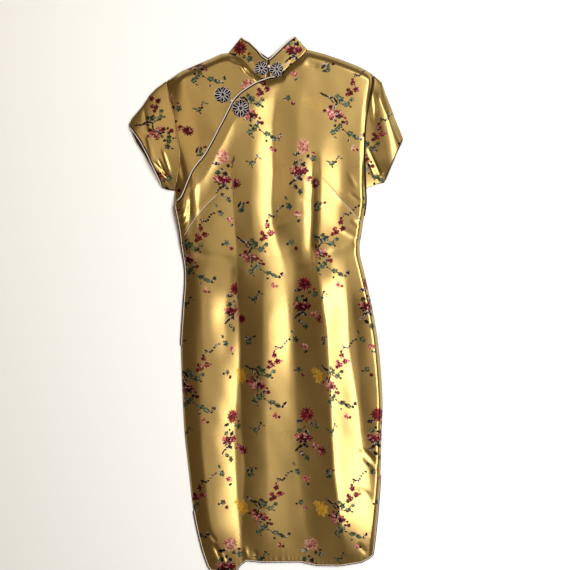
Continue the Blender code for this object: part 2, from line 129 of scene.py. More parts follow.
HEM = (
    (-112, 4), (-80, 0), (-58, 2), (-50, 14), (-38, 23), (-6, 20), (70, 21),
    (104, 14), (150, 14), (194, 21), (214, 31),
)
OPENING_POINTS = (
    (-184, 738), (-166, 752), (-154, 780), (-142, 806), (-120, 834), (-104, 862),
    (-88, 893), (-80, 908), (-66, 936), (-60, 946), (-48, 958), (-28, 972),
    (-8, 983), (8, 990), (24, 992),
)
RIGHT_NECK = ((38, 998), (44, 1011), (54, 1020), (72, 1034), (84, 1049))
RIGHT_SHOULDER = ((120, 1040), (160, 1026), (190, 1014), (208, 1004), (220, 996))
LEFT_SHOULDER = (
    (-202, 982), (-184, 994), (-166, 1006), (-138, 1018), (-110, 1030), (-88, 1040), (-73, 1042),
)
LEFT_NECK = ((-48, 1030), (-36, 1018), (-24, 1002), (-8, 990), (4, 986))
BACK_NECK = ((-36, 1014), (6, 984), (54, 1017), (84, 1049))

# Each fold lowers the cloth by its depth along a route of (x, y, share) points, with a slope as wide
# as left and right say on each side. Rounding blunts its line, and a negative depth is a ridge.
Fold = namedtuple("Fold", "name depth left right rounding route")
FOLDS = (
    Fold("left waist dart, then its pressed crease", 11.5, 74, 56, 1, (
        (-68, 846, 0), (-64, 766, 0.3), (-56, 650, 0.35), (-55, 608, 0.2), (-54, 546, 0.8),
        (-50, 452, 1), (-51, 376, 1), (-54, 286, 1), (-50, 206, 1), (-50, 126, 0.9),
        (-46, 10, 0.7))),
    Fold("bodice, neck to waist", 8, 40, 48, 3, (
        (28, 990, 0.3), (22, 946, 0.6), (16, 896, 0.75), (17, 800, 1), (14, 746, 1), (16, 700, 0.95),
        (26, 660, 0.6), (38, 620, 0.25), (44, 590, 0))),
    Fold("middle of the skirt", 9, 52, 66, 10, (
        (40, 696, 0), (50, 650, 0.4), (60, 606, 0.7), (57, 546, 0.85), (54, 456, 1),
        (54, 366, 0.5), (54, 286, 0.1), (54, 230, 0))),
    Fold("middle of the skirt, near the hem", 7, 110, 84, 35, (
        (44, 426, 0), (44, 366, 0.4), (42, 286, 0.8), (40, 206, 1), (40, 126, 1), (42, 10, 1))),
    Fold("left of the hip", 3.2, 44, 24, 6, (
        (-60, 632, 0), (-70, 600, 0.6), (-77, 526, 1), (-78, 470, 0.4), (-78, 430, 0))),
    Fold("right waist dart", 3.4, 18, 16, 1, (
        (97, 846, 0), (95, 776, 1), (92, 652, 1), (93, 630, 0.4), (94, 606, 0))),
    Fold("ridge beside the right waist dart", -2.6, 16, 40, 1, (
        (110, 850, 0), (110, 800, 1), (108, 700, 1), (103, 650, 0.5), (102, 630, 0))),
    Fold("ridge on the right of the skirt", -11, 70, 58, 1.5, (
        (101, 650, 0), (103, 620, 0.4), (114, 546, 0.7), (124, 486, 0.75), (131, 366, 0.9),
        (133, 286, 1), (137, 206, 1), (148, 126, 1), (164, 40, 0.7))),
    Fold("right of the bodice", 2.5, 40, 30, 8, (
        (150, 896, 0), (156, 826, 1), (154, 746, 1), (150, 666, 0))),
    Fold("right of the skirt", 7, 54, 40, 7, (
        (160, 596, 0), (164, 526, 1), (166, 446, 1), (180, 366, 1), (192, 286, 1),
        (208, 206, 0.8), (218, 126, 0.5), (222, 60, 0.2))),
    Fold("left bust dart", 0.6, 8, 9, 1, (
        (-96, 754, 0.2), (-116, 735, 1), (-134, 714, 1), (-148, 694, 1), (-160, 674, 0.6))),
    Fold("right bust dart", 0.5, 9, 8, 1, (
        (114, 790, 0.1), (154, 746, 1), (196, 700, 0.8))),
)

# The stitched lines of the darts: both waist darts and both bust darts. Their cord is coloured dark
# as painted shade in the groove of each seam.
DART_SEAMS = (
    ((-66, 800), (-62, 730), (-56, 650), (-55, 590)),
    ((96, 800), (95, 750), (92, 652), (98, 600)),
    ((-96, 754), (-116, 735), (-134, 714), (-148, 694), (-160, 674)),
    ((114, 790), (134, 770), (154, 746), (196, 700)),
)
# Beside each bust dart lies a pale cord that is a painted highlight, on the cloth that puffs up below
# the seam: its line, and the side of the line that it lies on.
DART_PAINTED_HIGHLIGHTS = ((DART_SEAMS[2], 1), (DART_SEAMS[3][1:], 1))
DART_HIGHLIGHT_GAP = 2.2
ARMHOLE_RIDGE = 1.1
# The share of the loft that the cloth keeps at its very edge: along the neck by x, down the left
# side by y, and in the middle of each armhole.
NECK_LIFT = ((-74, 0.0), (-50, 0.3), (66, 0.3), (84, 0.0))
SIDE_LIFT = ((620, 0.0), (660, 0.35), (728, 0.35), (760, 0.0))
LEFT_ARMHOLE_LIFT = 0.72
RIGHT_ARMHOLE_LIFT = 0.92

Crease = namedtuple("Crease", "x0 y0 x1 y1 width height")
FRONT_CREASES = (
    Crease(-180, 716, -158, 736, 5, 2.0), Crease(-178, 702, -156, 722, 5, 2.4),
    Crease(-176, 688, -154, 709, 5, 2.2), Crease(-173, 674, -154, 695, 5, 2.0),
    Crease(-170, 660, -152, 680, 5, 1.6), Crease(-150, 764, -150, 700, 6, -1.6),
    Crease(-141, 800, -138, 690, 10, 1.8),
    Crease(196, 232, 224, 206, 6, 2.2), Crease(190, 250, 222, 222, 7, -2.4),
    Crease(184, 172, 214, 150, 7, -1.6), Crease(150, 690, 188, 668, 9, -1.4),
    Crease(120, 640, 176, 652, 10, -1.2), Crease(-150, 640, -60, 628, 12, -1.2),
    Crease(-20, 632, 70, 640, 12, -1.0), Crease(80, 1020, 108, 1012, 7, -1.6),
    Crease(-104, 60, -84, 20, 7, -2.4), Crease(-92, 44, -78, 14, 6, 1.8),
    Crease(-118, 90, -96, 60, 5, -1.6), Crease(-40, 50, -34, 20, 6, 1.8),
    Crease(-20, 44, -16, 20, 6, -1.4), Crease(186, 60, 204, 36, 5, -1.6),
    Crease(70, 792, 94, 780, 4, -0.9), Crease(72, 770, 94, 762, 4, 0.8),
    Crease(70, 748, 92, 742, 5, -0.9), Crease(74, 724, 92, 716, 4, 0.7),
    Crease(172, 706, 192, 690, 5, 1.4), Crease(176, 664, 192, 640, 6, 1.2),
    Crease(168, 760, 190, 742, 5, -1.2), Crease(166, 800, 182, 770, 6, 0.9),
)
RIGHT_FRONT_CREASES = (
    Crease(-72, 1030, -50, 1016, 5, -2.2), Crease(-60, 1022, -40, 1002, 5, 1.8),
    Crease(-44, 1010, -26, 990, 4, -2.0), Crease(-34, 1000, -18, 982, 4, 1.4),
    Crease(-160, 960, -140, 800, 22, -0.6), Crease(-176, 850, -160, 780, 7, -1.6),
    Crease(-150, 990, -96, 940, 16, 0.6),
)
SLEEVE_LEFT_CREASES = (
    Crease(-244, 934, -236, 880, 6, -1.5), Crease(-236, 880, -222, 820, 8, 1.2),
    Crease(-222, 822, -190, 790, 4, -2.0), Crease(-214, 804, -186, 778, 3, 1.8),
    Crease(-206, 850, -190, 800, 5, 1.6), Crease(-214, 830, -196, 790, 4, -1.6),
    Crease(-202, 790, -186, 776, 3, -1.6),
)
SLEEVE_RIGHT_CREASES = (
    Crease(226, 1000, 266, 770, 40, 8.5),
    Crease(206, 850, 234, 790, 5, -2.0), Crease(204, 828, 224, 784, 4, 1.6),
    Crease(216, 962, 222, 920, 4, -1.4), Crease(212, 950, 216, 905, 4, 1.4),
    Crease(236, 800, 226, 788, 4, 1.4),
)

# How far the repeat has moved sideways at each height, left of the left dart, between the
# darts and right of the right dart, and how far it has dropped left of the left dart and between
# the darts: what the darts and folds take up.
TakeUp = namedtuple("TakeUp", "height left middle right left_drop middle_drop")
TAKE_UP = (
    TakeUp(0, 12, 18, 10, 0, 0), TakeUp(26, 12, 16, 8, 0, 0), TakeUp(136, 16, 10, 2, 0, 0),
    TakeUp(306, 26, 6, -14, 10, 0), TakeUp(396, 26, 6, -20, 6, 0), TakeUp(566, 28, 3, -30, 12, 0),
    TakeUp(606, 26, -2, -31, 12, 4), TakeUp(640, 25, -8, -32, 12, 12),
    TakeUp(670, 23, -9, -30, 12, 10), TakeUp(736, 14, -9, -18, 15, 0),
    TakeUp(832, 0, 0, 0, 20, 0), TakeUp(886, -4, -4, 0, 20, 0),
    TakeUp(946, -16, -16, 0, 6, 0), TakeUp(1070, -16, -16, 0, 0, 0),
)
# Where the waist darts and the creases below them lie at each height, and over what width the
# repeat moves from one side of them to the other.
LEFT_DART_X = ((10, -56), (266, -62), (546, -54), (766, -64))
RIGHT_DART_X = ((10, 138), (498, 118), (614, 100), (776, 96))
DART_SOFTNESS = ((0, 60), (450, 40), (560, 3), (840, 3), (900, 60))
FIRST_BLOOM_X = 78.0
# Heights on the front, and how far above its first bloom the woven repeat is there.
UP_THE_REPEAT = (
    (6, -850), (60, -796), (130, -716), (318, -532), (396, -450), (580, -266), (660, -184),
    (852, 0), (938, 82), (1026, 168),
)
# One repeat of the weave round its bloom: lowest and highest x, lowest and highest y.
REPEAT_WINDOW = ((-62.0, 100.0), (-136.0, 130.0))

# Where a chrysanthemum of the repeat lies on the smaller pieces, how far the repeat is turned
# there, and which row of it is cut.
Placement = namedtuple("Placement", "x y turn row")
RIGHT_FRONT_REPEAT = Placement(-194.6, 947.6, 9.3, 0)
COLLAR_LEFT_REPEAT = Placement(-50.0, 1052.0, 0, -1)
COLLAR_RIGHT_REPEAT = Placement(64.0, 1094.0, 0, -1)

Sleeve = namedtuple(
    "Sleeve",
    "name side top_edge under_edge front_hem back_hem bulge at_seam flat area creases repeat")
SLEEVES = (
    Sleeve("sleeve_left", -1,
           ((-199, 984), (-218, 970), (-230, 958), (-246, 934), (-266, 910), (-273, 897)),
           ((-182, 767), (-194, 768), (-206, 772)),
           ((-273, 897), (-250, 866), (-234, 836), (-222, 810), (-210, 784), (-206, 772)),
           ((-273, 897), (-258, 862), (-242, 838), (-228, 814), (-214, 790), (-206, 772)),
           7.5, 1.05, (0.44, 0.12), 0.026, SLEEVE_LEFT_CREASES, Placement(-220.1, 794.0, 41.4, -1)),
    Sleeve("sleeve_right", 1,
           ((218, 996), (234, 982), (242, 958), (252, 934), (260, 910), (270, 886), (277, 868)),
           ((204, 771), (222, 779), (240, 783)),
           ((277, 868), (262, 838), (250, 808), (240, 783)),
           ((277, 868), (262, 838), (250, 808), (240, 783)),
           8.0, 1.05, (0.44, 0.14), 0.023, SLEEVE_RIGHT_CREASES, Placement(292.0, 768.0, 0, -1)),
)

CollarStation = namedtuple("CollarStation", "base_x base_y base_z top_x top_y top_z")
COLLAR = tuple(CollarStation(*row) for row in (
    (2.0, 991.6, 3.4, 5.0, 1026, 6.4),
    (-8, 993.0, 3.4, -6, 1033, 6.2),
    (-24, 1004, 3.2, -16, 1046, 5.6),
    (-36, 1020, 3.2, -32, 1062, 4.6),
    (-48, 1031.6, 3.1, -42, 1067, 3.8),
    (-71, 1043.5, 3.0, -48, 1072, 3.0),
    (-72.2, 1044.5, 1.8, -49, 1073, 1.8),
    (-71, 1043.5, 0.6, -47, 1072, 0.6),
    (-36, 1015.4, 0.6, -26, 1054, 0.6),
    (6, 985.4, 0.6, 6, 1031, 0.6),
    (54, 1018.6, 0.6, 40, 1052, 0.6),
    (83, 1050.4, 0.6, 60, 1074, 0.6),
    (84.2, 1051.4, 1.8, 61.5, 1075, 1.8),
    (83, 1050.4, 3.0, 61, 1074, 3.0),
    (72, 1035.8, 3.2, 50, 1066, 4.0),
    (54, 1022, 3.6, 38, 1055, 4.8),
    (42.6, 1012, 4.2, 30, 1047, 5.6),
    (26, 997.0, 4.6, 19, 1036, 6.2),
    (9, 994.8, 4.8, 9, 1027, 6.4),
))
# The share of the band's length on the front at each end, the least length given to a step round
# its side folds, how far up the band its neck seam lies, and where its front layer starts.
COLLAR_FRONT_SHARE = 0.27
COLLAR_LEAST_STEP = 1.5
COLLAR_SEAM_SHARE = 0.05
COLLAR_FRONT_Z = 3.0

Frog = namedtuple("Frog", "name x y radius turn petals")
FROGS = (
    Frog("frog_collar_left", -7.2, 1010, 15.5, 0.10, 10),
    Frog("frog_collar_right", 23.4, 1008, 15.5, 0.35, 10),
    Frog("frog_chest_left", -84.0, 955, 17.5, 0.20, 10),
    Frog("frog_chest_right", -48.0, 927, 18.5, 0.45, 11),
)
Knot = namedtuple("Knot", "name radius")
KNOTS = (Knot("knot_collar", 3.0), Knot("knot_chest", 2.6))
PETAL_STEPS = 20
PETAL_START = 0.19
PETAL_HALF_WIDTH = 0.21
BACKING_STEPS = 6

Lamp = namedtuple("Lamp", "name place tilt width length energy colour")
# Lamps: place, width and length in metres, tilt towards +X in degrees, energy in watts.
LAMPS = (
    Lamp("window_right", (1.10, 0.30, 1.80), 31.5, 0.95, 3.2, 69, (1.0, 0.98, 0.94)),
    Lamp("overhead", (0.05, 0.1, 2.6), 0.0, 0.6, 3.6, 6.0, (1.0, 0.94, 0.84)),
    Lamp("left_shoulder_fill", (-0.46, 0.68, 1.0), -14.0, 0.36, 0.8, 1.2, (1.0, 0.88, 0.72)),
)
WORLD_COLOUR, WORLD_STRENGTH = (1.0, 0.60, 0.20, 1), 0.115
FLOOR_COLOUR, FLOOR_HALF, FLOOR_DROP = (0.95, 0.975, 1.0, 1), 4.0, 0.0005
# What the middle of the photo shows, in millimetres on the dress, and how wide the view is there.
PHOTO_MIDDLE = (40.0, 576.0, 10.0)
VIEW_WIDTH = 1.14


def to_world(x, y, z):
    return Vector(((x - MIDDLE_X) * MM, (y - MIDDLE_Y) * MM, z * MM))


def ease(value):
    """Rises from 0 to 1 like a quarter of a sine wave."""
    return np.sin(np.clip(value, 0.0, 1.0) * math.pi / 2)


def hermite_line(points):
    """Keys and values close together on a smooth line through (key, value) pairs."""
    keys, values = [], []
    for index in range(len(points) - 1):
        x0, y0 = points[index]
        x1, y1 = points[index + 1]
        before = points[index - 1] if index else points[index]
        after = points[index + 2] if index + 2 < len(points) else points[index + 1]
        slope0 = (y1 - before[1]) / (x1 - before[0])
        slope1 = (after[1] - y0) / (after[0] - x0)
        span = x1 - x0
        t = np.linspace(0.0, 1.0, 24, endpoint=index == len(points) - 2)
        keys.append(x0 + span * t)
        values.append(
            y0 * (1 + 2 * t) * (1 - t) ** 2 + slope0 * span * t * (1 - t) ** 2
            + y1 * t * t * (3 - 2 * t) + slope1 * span * t * t * (t - 1)
        )
    return np.concatenate(keys), np.concatenate(values)


LEFT_SIDE = hermite_line([(row.height, row.left) for row in BODY_OUTLINE])
RIGHT_SIDE = hermite_line([(row.height, row.right) for row in BODY_OUTLINE])


def left_side(y):
    return np.interp(y, *LEFT_SIDE)


def right_side(y):
    return np.interp(y, *RIGHT_SIDE)


def straight(points, x):
    """The value at x on a line of (x, value) points, with straight runs between them."""
    return np.interp(x, [point[0] for point in points], [point[1] for point in points])


OPENING = tuple(zip(*hermite_line(OPENING_POINTS)))
FRONT_TOP = OPENING + RIGHT_NECK + RIGHT_SHOULDER
RIGHT_FRONT_TOP = LEFT_SHOULDER + LEFT_NECK
BACK_TOP = LEFT_SHOULDER + BACK_NECK + RIGHT_SHOULDER
FULL_TOP = LEFT_SHOULDER + LEFT_NECK + OPENING_POINTS[-1:] + RIGHT_NECK + RIGHT_SHOULDER


def hem_line(x):
    return straight(HEM, x)


def armhole_rise(y):
    """0 at both ends of an armhole and 1 in the middle of it."""
    low, high = SLEEVES[0].under_edge[0][1], SLEEVES[0].top_edge[0][1]
    return np.sin(math.pi * np.clip((y - low) / (high - low), 0.0, 1.0)) ** 0.8


def fold_depth(fold, x, y):
    """How far one fold lowers the cloth: a sharp line with a slope on each side."""
    distance = np.full(x.shape, 1e9)
    width = np.ones(x.shape)
    share = np.zeros(x.shape)
    for (x0, y0, share0), (x1, y1, share1) in zip(fold.route, fold.route[1:]):
        dx, dy = x1 - x0, y1 - y0
        t = np.clip(((x - x0) * dx + (y - y0) * dy) / (dx * dx + dy * dy), 0.0, 1.0)
        off_x, off_y = x - x0 - t * dx, y - y0 - t * dy
        here = np.hypot(off_x, off_y)
        nearer = here < distance
        right_of_route = dx * off_y - dy * off_x > 0
        distance = np.where(nearer, here, distance)
        width = np.where(nearer, np.where(right_of_route, fold.right, fold.left), width)
        share = np.where(nearer, share0 + (share1 - share0) * t, share)
    rounded = np.hypot(distance, fold.rounding) - fold.rounding
    return fold.depth * share * np.clip(1 - rounded / width, 0.0, 1.0) ** FOLD_SHARPNESS


def crease_height(creases, x, y):
    """Small soft ridges and troughs, each along a short straight line."""
    total = np.zeros(x.shape)
    for crease in creases:
        dx, dy = crease.x1 - crease.x0, crease.y1 - crease.y0
        length = math.hypot(dx, dy)
        lengthwise = ((x - crease.x0) * dx + (y - crease.y0) * dy) / length
        across = ((x - crease.x0) * dy - (y - crease.y0) * dx) / length
        half = length / 2
        from_middle = np.abs(lengthwise - half)
        past_end = np.clip((from_middle - half * CREASE_FULL) / (half * CREASE_FADE), 0.0, 1.0)
        fade = (1 - past_end ** 2) ** 2
        total += crease.height * fade * np.exp(-(across / (crease.width * CREASE_SPREAD)) ** 2)
    return total


def cloth_height(x, y, creases=()):
    """Middle of the front's wall where nothing lies under it but the back."""
    from_left = ease((x - left_side(y)) / straight(LEFT_RISE, y))
    from_right = ease((right_side(y) - x) / RIGHT_RISE)
    from_top = ease((straight(FULL_TOP, x) - y) / TOP_RISE)
    from_hem = ease((y - hem_line(x)) / HEM_RISE)
    left_lift = np.maximum(LEFT_ARMHOLE_LIFT * armhole_rise(y), straight(SIDE_LIFT, y))
    right_lift = RIGHT_ARMHOLE_LIFT * armhole_rise(y)
    share = 1.0
    for lift, risen in ((left_lift, from_left), (right_lift, from_right),
                        (straight(NECK_LIFT, x), from_top), (HEM_LOFT_SHARE, from_hem)):
        share = share * (lift + (1 - lift) * risen)
    lowered = sum(fold_depth(fold, x, y) for fold in FOLDS)
    small = crease_height(creases, x, y) * np.clip(share * CREASE_RISE, 0.0, 1.0)
    loft = np.maximum(LOFT - lowered, LEAST_LOFT)
    return FRONT_EDGE_Z + np.maximum(share * loft + small, 0.0)


def overlap_lift(x, y):
    """Raises the main front where the small right front lies under it."""
    below = straight(OPENING, x) - y
    past_overlap = ease((below - OVERLAP_WIDTH - OVERLAP_MARGIN) / OVERLAP_FADE)
    past_opening = ease((x - OPENING_POINTS[-1][0]) / OVERLAP_FADE)
    return OVERLAP_LIFT * (1 - past_overlap) * (1 - past_opening)


def uneven_wave(position, rate, sway, sway_rate):
    """A wave whose crests lie closer in some places than in others."""
    return np.sin(position * rate + sway * np.sin(position * sway_rate))


def hem_puckers(x, y):
    """Small pulls in the cloth where the piping is sewn to the hem and the slits."""
    above = y - hem_line(x)
    from_side = np.minimum(x - left_side(y), right_side(y) - x)
    near_hem = np.exp(-above / HEM_PUCKER_REACH)
    near_slit = np.where(y < SLIT_PUCKER_TOP, np.exp(-from_side / SLIT_PUCKER_REACH), 0.0)
    along_hem = uneven_wave(x, 0.62, 2.0, 0.11)
    up_slit = uneven_wave(y, 0.55, 1.5, 0.13)
    return HEM_PUCKER * near_hem * along_hem + SLIT_PUCKER * near_slit * up_slit


def slow_waves(x, y):
    """The slight unevenness of cloth that has been laid out by hand."""
    across = np.sin(0.055 * x + 1.7 * np.sin(0.011 * y))
    upward = np.sin(0.021 * y + 0.9 * np.sin(0.03 * x))
    short_across = np.sin(0.12 * x + 2.3 * np.sin(0.017 * y + 1))
    short_upward = np.sin(0.05 * y + 0.02 * x)
    inside = np.clip((y - hem_line(x)) / WAVE_RISE, 0.0, 1.0)
    return (LONG_WAVE * across * upward + SHORT_WAVE * short_across * short_upward) * inside


def front_height(x, y):
    small = hem_puckers(x, y) + slow_waves(x, y)
    return cloth_height(x, y, FRONT_CREASES) + overlap_lift(x, y) + small


def right_front_height(x, y):
    """The small right front; its creases fade out before the main front covers it."""
    uncovered = np.clip((y - straight(OPENING, x)) / UNCOVERED_FADE, 0.0, 1.0)
    plain = cloth_height(x, y)
    return plain + (cloth_height(x, y, RIGHT_FRONT_CREASES) - plain) * uncovered


def back_height(x, y):
    return np.full(x.shape, BACK_Z)


def inner_edge(y):
    """The straight edge of the small right front, hidden under the main front."""
    return np.full(y.shape, float(LEFT_NECK[-1][0]))


def body_repeat(x, y):
    """Where a point of the body lies on the woven repeat, with what the darts take up."""
    heights = [row.height for row in TAKE_UP]
    left, middle, right, left_drop, middle_drop = (
        np.interp(y, heights, [row[column] for row in TAKE_UP]) for column in range(1, 6))
    soft = straight(DART_SOFTNESS, y)
    past_left = np.clip((x - straight(LEFT_DART_X, y)) / soft + 0.5, 0.0, 1.0)
    past_right = np.clip((x - straight(RIGHT_DART_X, y)) / soft + 0.5, 0.0, 1.0)
    between = past_left * (1 - past_right)
    shift = left * (1 - past_left) + middle * between + right * past_right
    dropped = y + left_drop * (1 - past_left) + middle_drop * between
    return (x - shift - FIRST_BLOOM_X) * MM, straight(UP_THE_REPEAT, dropped) * MM


def turned_repeat(x, y, repeat):
    """Where a point of a smaller piece lies on the woven repeat."""
    turn = math.radians(repeat.turn)
    dx, dy = x - repeat.x, y - repeat.y
    low_y, high_y = REPEAT_WINDOW[1]
    u = dx * math.cos(turn) + dy * math.sin(turn)
    v = dy * math.cos(turn) - dx * math.sin(turn) + repeat.row * (high_y - low_y)
    return u * MM, v * MM


def grid_mesh(name, columns, rows, place, merge=0.0):
    """Sheet from a Blender grid, each vertex moved to its place on the cloth."""
    builder = bmesh.new()
    bmesh.ops.create_grid(builder, x_segments=columns, y_segments=rows, size=1.0)
    builder.verts.ensure_lookup_table()
    across = np.array([(vert.co.x + 1) / 2 for vert in builder.verts])
    upward = np.array([(vert.co.y + 1) / 2 for vert in builder.verts])
    x, y, z, u, v = place(across, upward)
    for vert, px, py, pz in zip(builder.verts, x, y, z):
        vert.co = to_world(px, py, pz)
    layer = builder.loops.layers.uv.new("repeat")
    for face in builder.faces:
        for loop in face.loops:
            loop[layer].uv = (u[loop.vert.index], v[loop.vert.index])
    if merge:
        bmesh.ops.remove_doubles(builder, verts=builder.verts, dist=merge)
    builder.normal_update()
    highest = max(builder.faces, key=lambda face: face.calc_center_median().z)
    if highest.normal.z < 0:
        bmesh.ops.reverse_faces(builder, faces=builder.faces)
    return finish_mesh(name, builder)


def finish_mesh(name, builder):
    mesh = bpy.data.meshes.new(name)
    builder.to_mesh(mesh)
    builder.free()
    mesh.shade_smooth()
    obj = bpy.data.objects.new(name, mesh)
    bpy.context.scene.collection.objects.link(obj)
    return obj


def cloth_wall(obj, thickness, outer, inner):
    """Gives a sheet its thin wall: the right side of the cloth outside, its reverse inside."""
    obj.data.materials.append(outer)
    obj.data.materials.append(inner)
    wall = obj.modifiers.new("cloth wall", "SOLIDIFY")
    wall.thickness = thickness
    wall.offset = 0.0
    wall.material_offset = 1
    wall.material_offset_rim = 0


def settle(obj, slot, *nodes):
    """Attaches a finished piece to the garment's root and hides the solids that it stands for."""
    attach(obj, "root")
    if nodes:
        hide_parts(*nodes)
    return obj


def panel_place(right, bottom, top, height, repeat=None, run_on=0.0):
    """Place function of a panel between its sides, its top line and run_on below its bottom line.

    Both ends of each upright line are found in steps, because x changes with y along the sides.
    """
    def place(across, upward):
        low = high = np.full(across.shape, FIRST_HEIGHT)

        def x_at(y):
            return left_side(y) + (right(y) - left_side(y)) * across

        for _ in range(END_STEPS):
            low = low + 0.5 * (straight(bottom, x_at(low)) - run_on - low)
            high = high + 0.5 * (straight(top, x_at(high)) - high)
        y = low + (high - low) * upward
        x = x_at(y)
        woven = turned_repeat(x, y, repeat) if repeat else body_repeat(x, y)
        return (x, y, height(x, y), *woven)
    return place


def line_point(points, share):
    """Points at shares of the length of a line of (x, y) points."""
    line = np.array(points, dtype=float)
    lengths = np.concatenate([[0.0], np.cumsum(np.hypot(*np.diff(line, axis=0).T))])
    target = share * lengths[-1]
    return np.interp(target, lengths, line[:, 0]), np.interp(target, lengths, line[:, 1])


def sleeve_layer(sleeve, hem, out, down):
    """Points of one layer: out runs from armhole to hem, down from top fold to underarm."""
    side = left_side if sleeve.side < 0 else right_side
    top_y, low_y = sleeve.top_edge[0][1], sleeve.under_edge[0][1]
    seam_y = top_y + (low_y - top_y) * down
    seam = (side(seam_y) + sleeve.side * EDGE_CLEARANCE, seam_y)
    cuff = line_point(hem, down)
    over = line_point(sleeve.top_edge, out)
    under = line_point(sleeve.under_edge, out)
    point = []
    for axis in (0, 1):
        corners = (
            (1 - out) * (1 - down) * sleeve.top_edge[0][axis]
            + out * (1 - down) * sleeve.top_edge[-1][axis]
            + (1 - out) * down * sleeve.under_edge[0][axis]
            + out * down * sleeve.under_edge[-1][axis]
        )
        point.append((1 - out) * seam[axis] + out * cuff[axis]
                     + (1 - down) * over[axis] + down * under[axis] - corners)
    return point


def sleeve_front_z(sleeve, out, down, x=None, y=None):
    """Height of a sleeve's front layer, with its small creases where x and y are given."""
    middle = np.sin(math.pi * np.clip(down, 0.0, 1.0))
    outwards = sleeve.at_seam + (1 - sleeve.at_seam) * ease(out * 1.4)
    swell = sleeve.bulge * middle ** 0.8 * outwards
    soft = SLEEVE_RIPPLE * np.sin(3 * math.pi * down + 1.2 * out) * middle * ease(out)
    small = 0.0
    if x is not None:
        small = crease_height(sleeve.creases, x, y) * np.clip(middle * 2.0, 0.0, 1.0)
    return BACK_Z + SLEEVE_FOLD_Z + np.maximum(swell + soft + small, 0.0)


def sleeve_place(sleeve):
    """Round the flattened tube: front layer, lower fold, back layer, top fold."""
    front_end, low_end, back_end = 0.48, 0.50, 0.98

    def place(around, out):
        radius = SLEEVE_FOLD_Z / 2
        front_down = np.clip(around / front_end, 0.0, 1.0)
        back_down = np.clip(1 - (around - low_end) / (back_end - low_end), 0.0, 1.0)
        fx, fy = sleeve_layer(sleeve, sleeve.front_hem, out, front_down)
        bx, by = sleeve_layer(sleeve, sleeve.back_hem, out, back_down)
        fz = sleeve_front_z(sleeve, out, front_down, fx, fy)
        on_front = around <= front_end
        on_low = (around > front_end) & (around < low_end)
        on_top = around > back_end
        turn_low = (around - front_end) / (low_end - front_end) * math.pi
        turn_top = (around - back_end) / (1 - back_end) * math.pi
        x = np.where(on_front, fx, bx)
        y = np.where(on_front, fy, by)
        z = np.where(on_front, fz, BACK_Z)
        y = np.where(on_low, y - radius * np.sin(turn_low), y)
        z = np.where(on_low, BACK_Z + radius + radius * np.cos(turn_low), z)
        outward = radius * SLEEVE_TOP_FOLD_SHARE * np.sin(turn_top)
        x = np.where(on_top, x + sleeve.side * outward, x)
        y = np.where(on_top, y + outward, y)
        z = np.where(on_top, BACK_Z + radius - radius * np.cos(turn_top), z)
        return (x, y, z, *turned_repeat(x, y, sleeve.repeat))
    return place


def collar_place(across, upward):
    """Round the band from its left end over both side folds to its right end."""
    stations = np.array(COLLAR)
    steps = np.maximum(np.hypot(*np.diff(stations[:, 0:2], axis=0).T), COLLAR_LEAST_STEP)
    lengths = np.concatenate([[0.0], np.cumsum(steps)])
    target = across * lengths[-1]
    base = [np.interp(target, lengths, stations[:, axis]) for axis in range(3)]
    top = [np.interp(target, lengths, stations[:, axis]) for axis in range(3, 6)]
    front = (across < COLLAR_FRONT_SHARE) | (across > 1 - COLLAR_FRONT_SHARE)
    seam = np.where(front, COLLAR_SEAM_SHARE, 0.0)
    base = [b - (t - b) * seam for b, t in zip(base, top)]
    x, y, z = (b + (t - b) * upward for b, t in zip(base, top))
    crown = np.sin(math.pi * upward) * np.clip(z - COLLAR_FRONT_Z, 0.0, 1.0)
    z = z + np.where(front, crown, 0.0)
    left = turned_repeat(x, y, COLLAR_LEFT_REPEAT)
    right = turned_repeat(x, y, COLLAR_RIGHT_REPEAT)
    u, v = (np.where(across < 0.5, one, other) for one, other in zip(left, right))
    return x, y, z, u, v


def cord_mesh(name, routes, radius, material, cyclic=False, resolution=2):
    """Round cords along lists of (x, y, z) points, as one mesh."""
    curve = bpy.data.curves.new(name, "CURVE")
    curve.dimensions = "3D"
    curve.bevel_depth = radius * MM
    curve.bevel_resolution = resolution
    curve.use_fill_caps = True
    for route in routes:
        spline = curve.splines.new("POLY")
        spline.points.add(len(route) - 1)
        for point, place in zip(spline.points, route):
            point.co = (*to_world(*place), 1.0)
        spline.use_cyclic_u = cyclic
    source = bpy.data.objects.new(name, curve)
    bpy.context.scene.collection.objects.link(source)
    graph = bpy.context.evaluated_depsgraph_get()
    mesh = bpy.data.meshes.new_from_object(source.evaluated_get(graph))
    bpy.data.objects.remove(source)
    bpy.data.curves.remove(curve)
    builder = bmesh.new()
    builder.from_mesh(mesh)
    bpy.data.meshes.remove(mesh)
    bmesh.ops.remove_doubles(builder, verts=builder.verts, dist=MERGE_DISTANCE)
    bmesh.ops.recalc_face_normals(builder, faces=builder.faces)
    obj = finish_mesh(name, builder)
    obj.data.materials.clear()
    obj.data.materials.append(material)
    return obj


def moved_out(edge, distance, lift=0.0):
    """Moves a line of (x, y, z) points sideways, to the right of the way it runs, and up."""
    points = np.array(edge, dtype=float)
    forward = np.gradient(points[:, 0:2], axis=0)
    forward /= np.maximum(np.hypot(forward[:, 0], forward[:, 1]), 1e-9)[:, None]
    moved = points.copy()
    moved[:, 0] += forward[:, 1] * distance
    moved[:, 1] -= forward[:, 0] * distance
    moved[:, 2] += lift
    return moved


def on_front(x, y):
    """Points on the main front."""
    return np.stack([x, y, front_height(x, y)], axis=1)


def side_edge(side, start, stop, step):
    """Points on the main front's edge, up or down a side."""
    heights = np.arange(start, stop, step, dtype=float)
    return on_front(side(heights), heights)


def line_edge(line, start, stop, step):
    """Points on the main front's edge, along its top or its hem."""
    across = np.arange(start, stop, step, dtype=float)
    return on_front(across, straight(line, across))


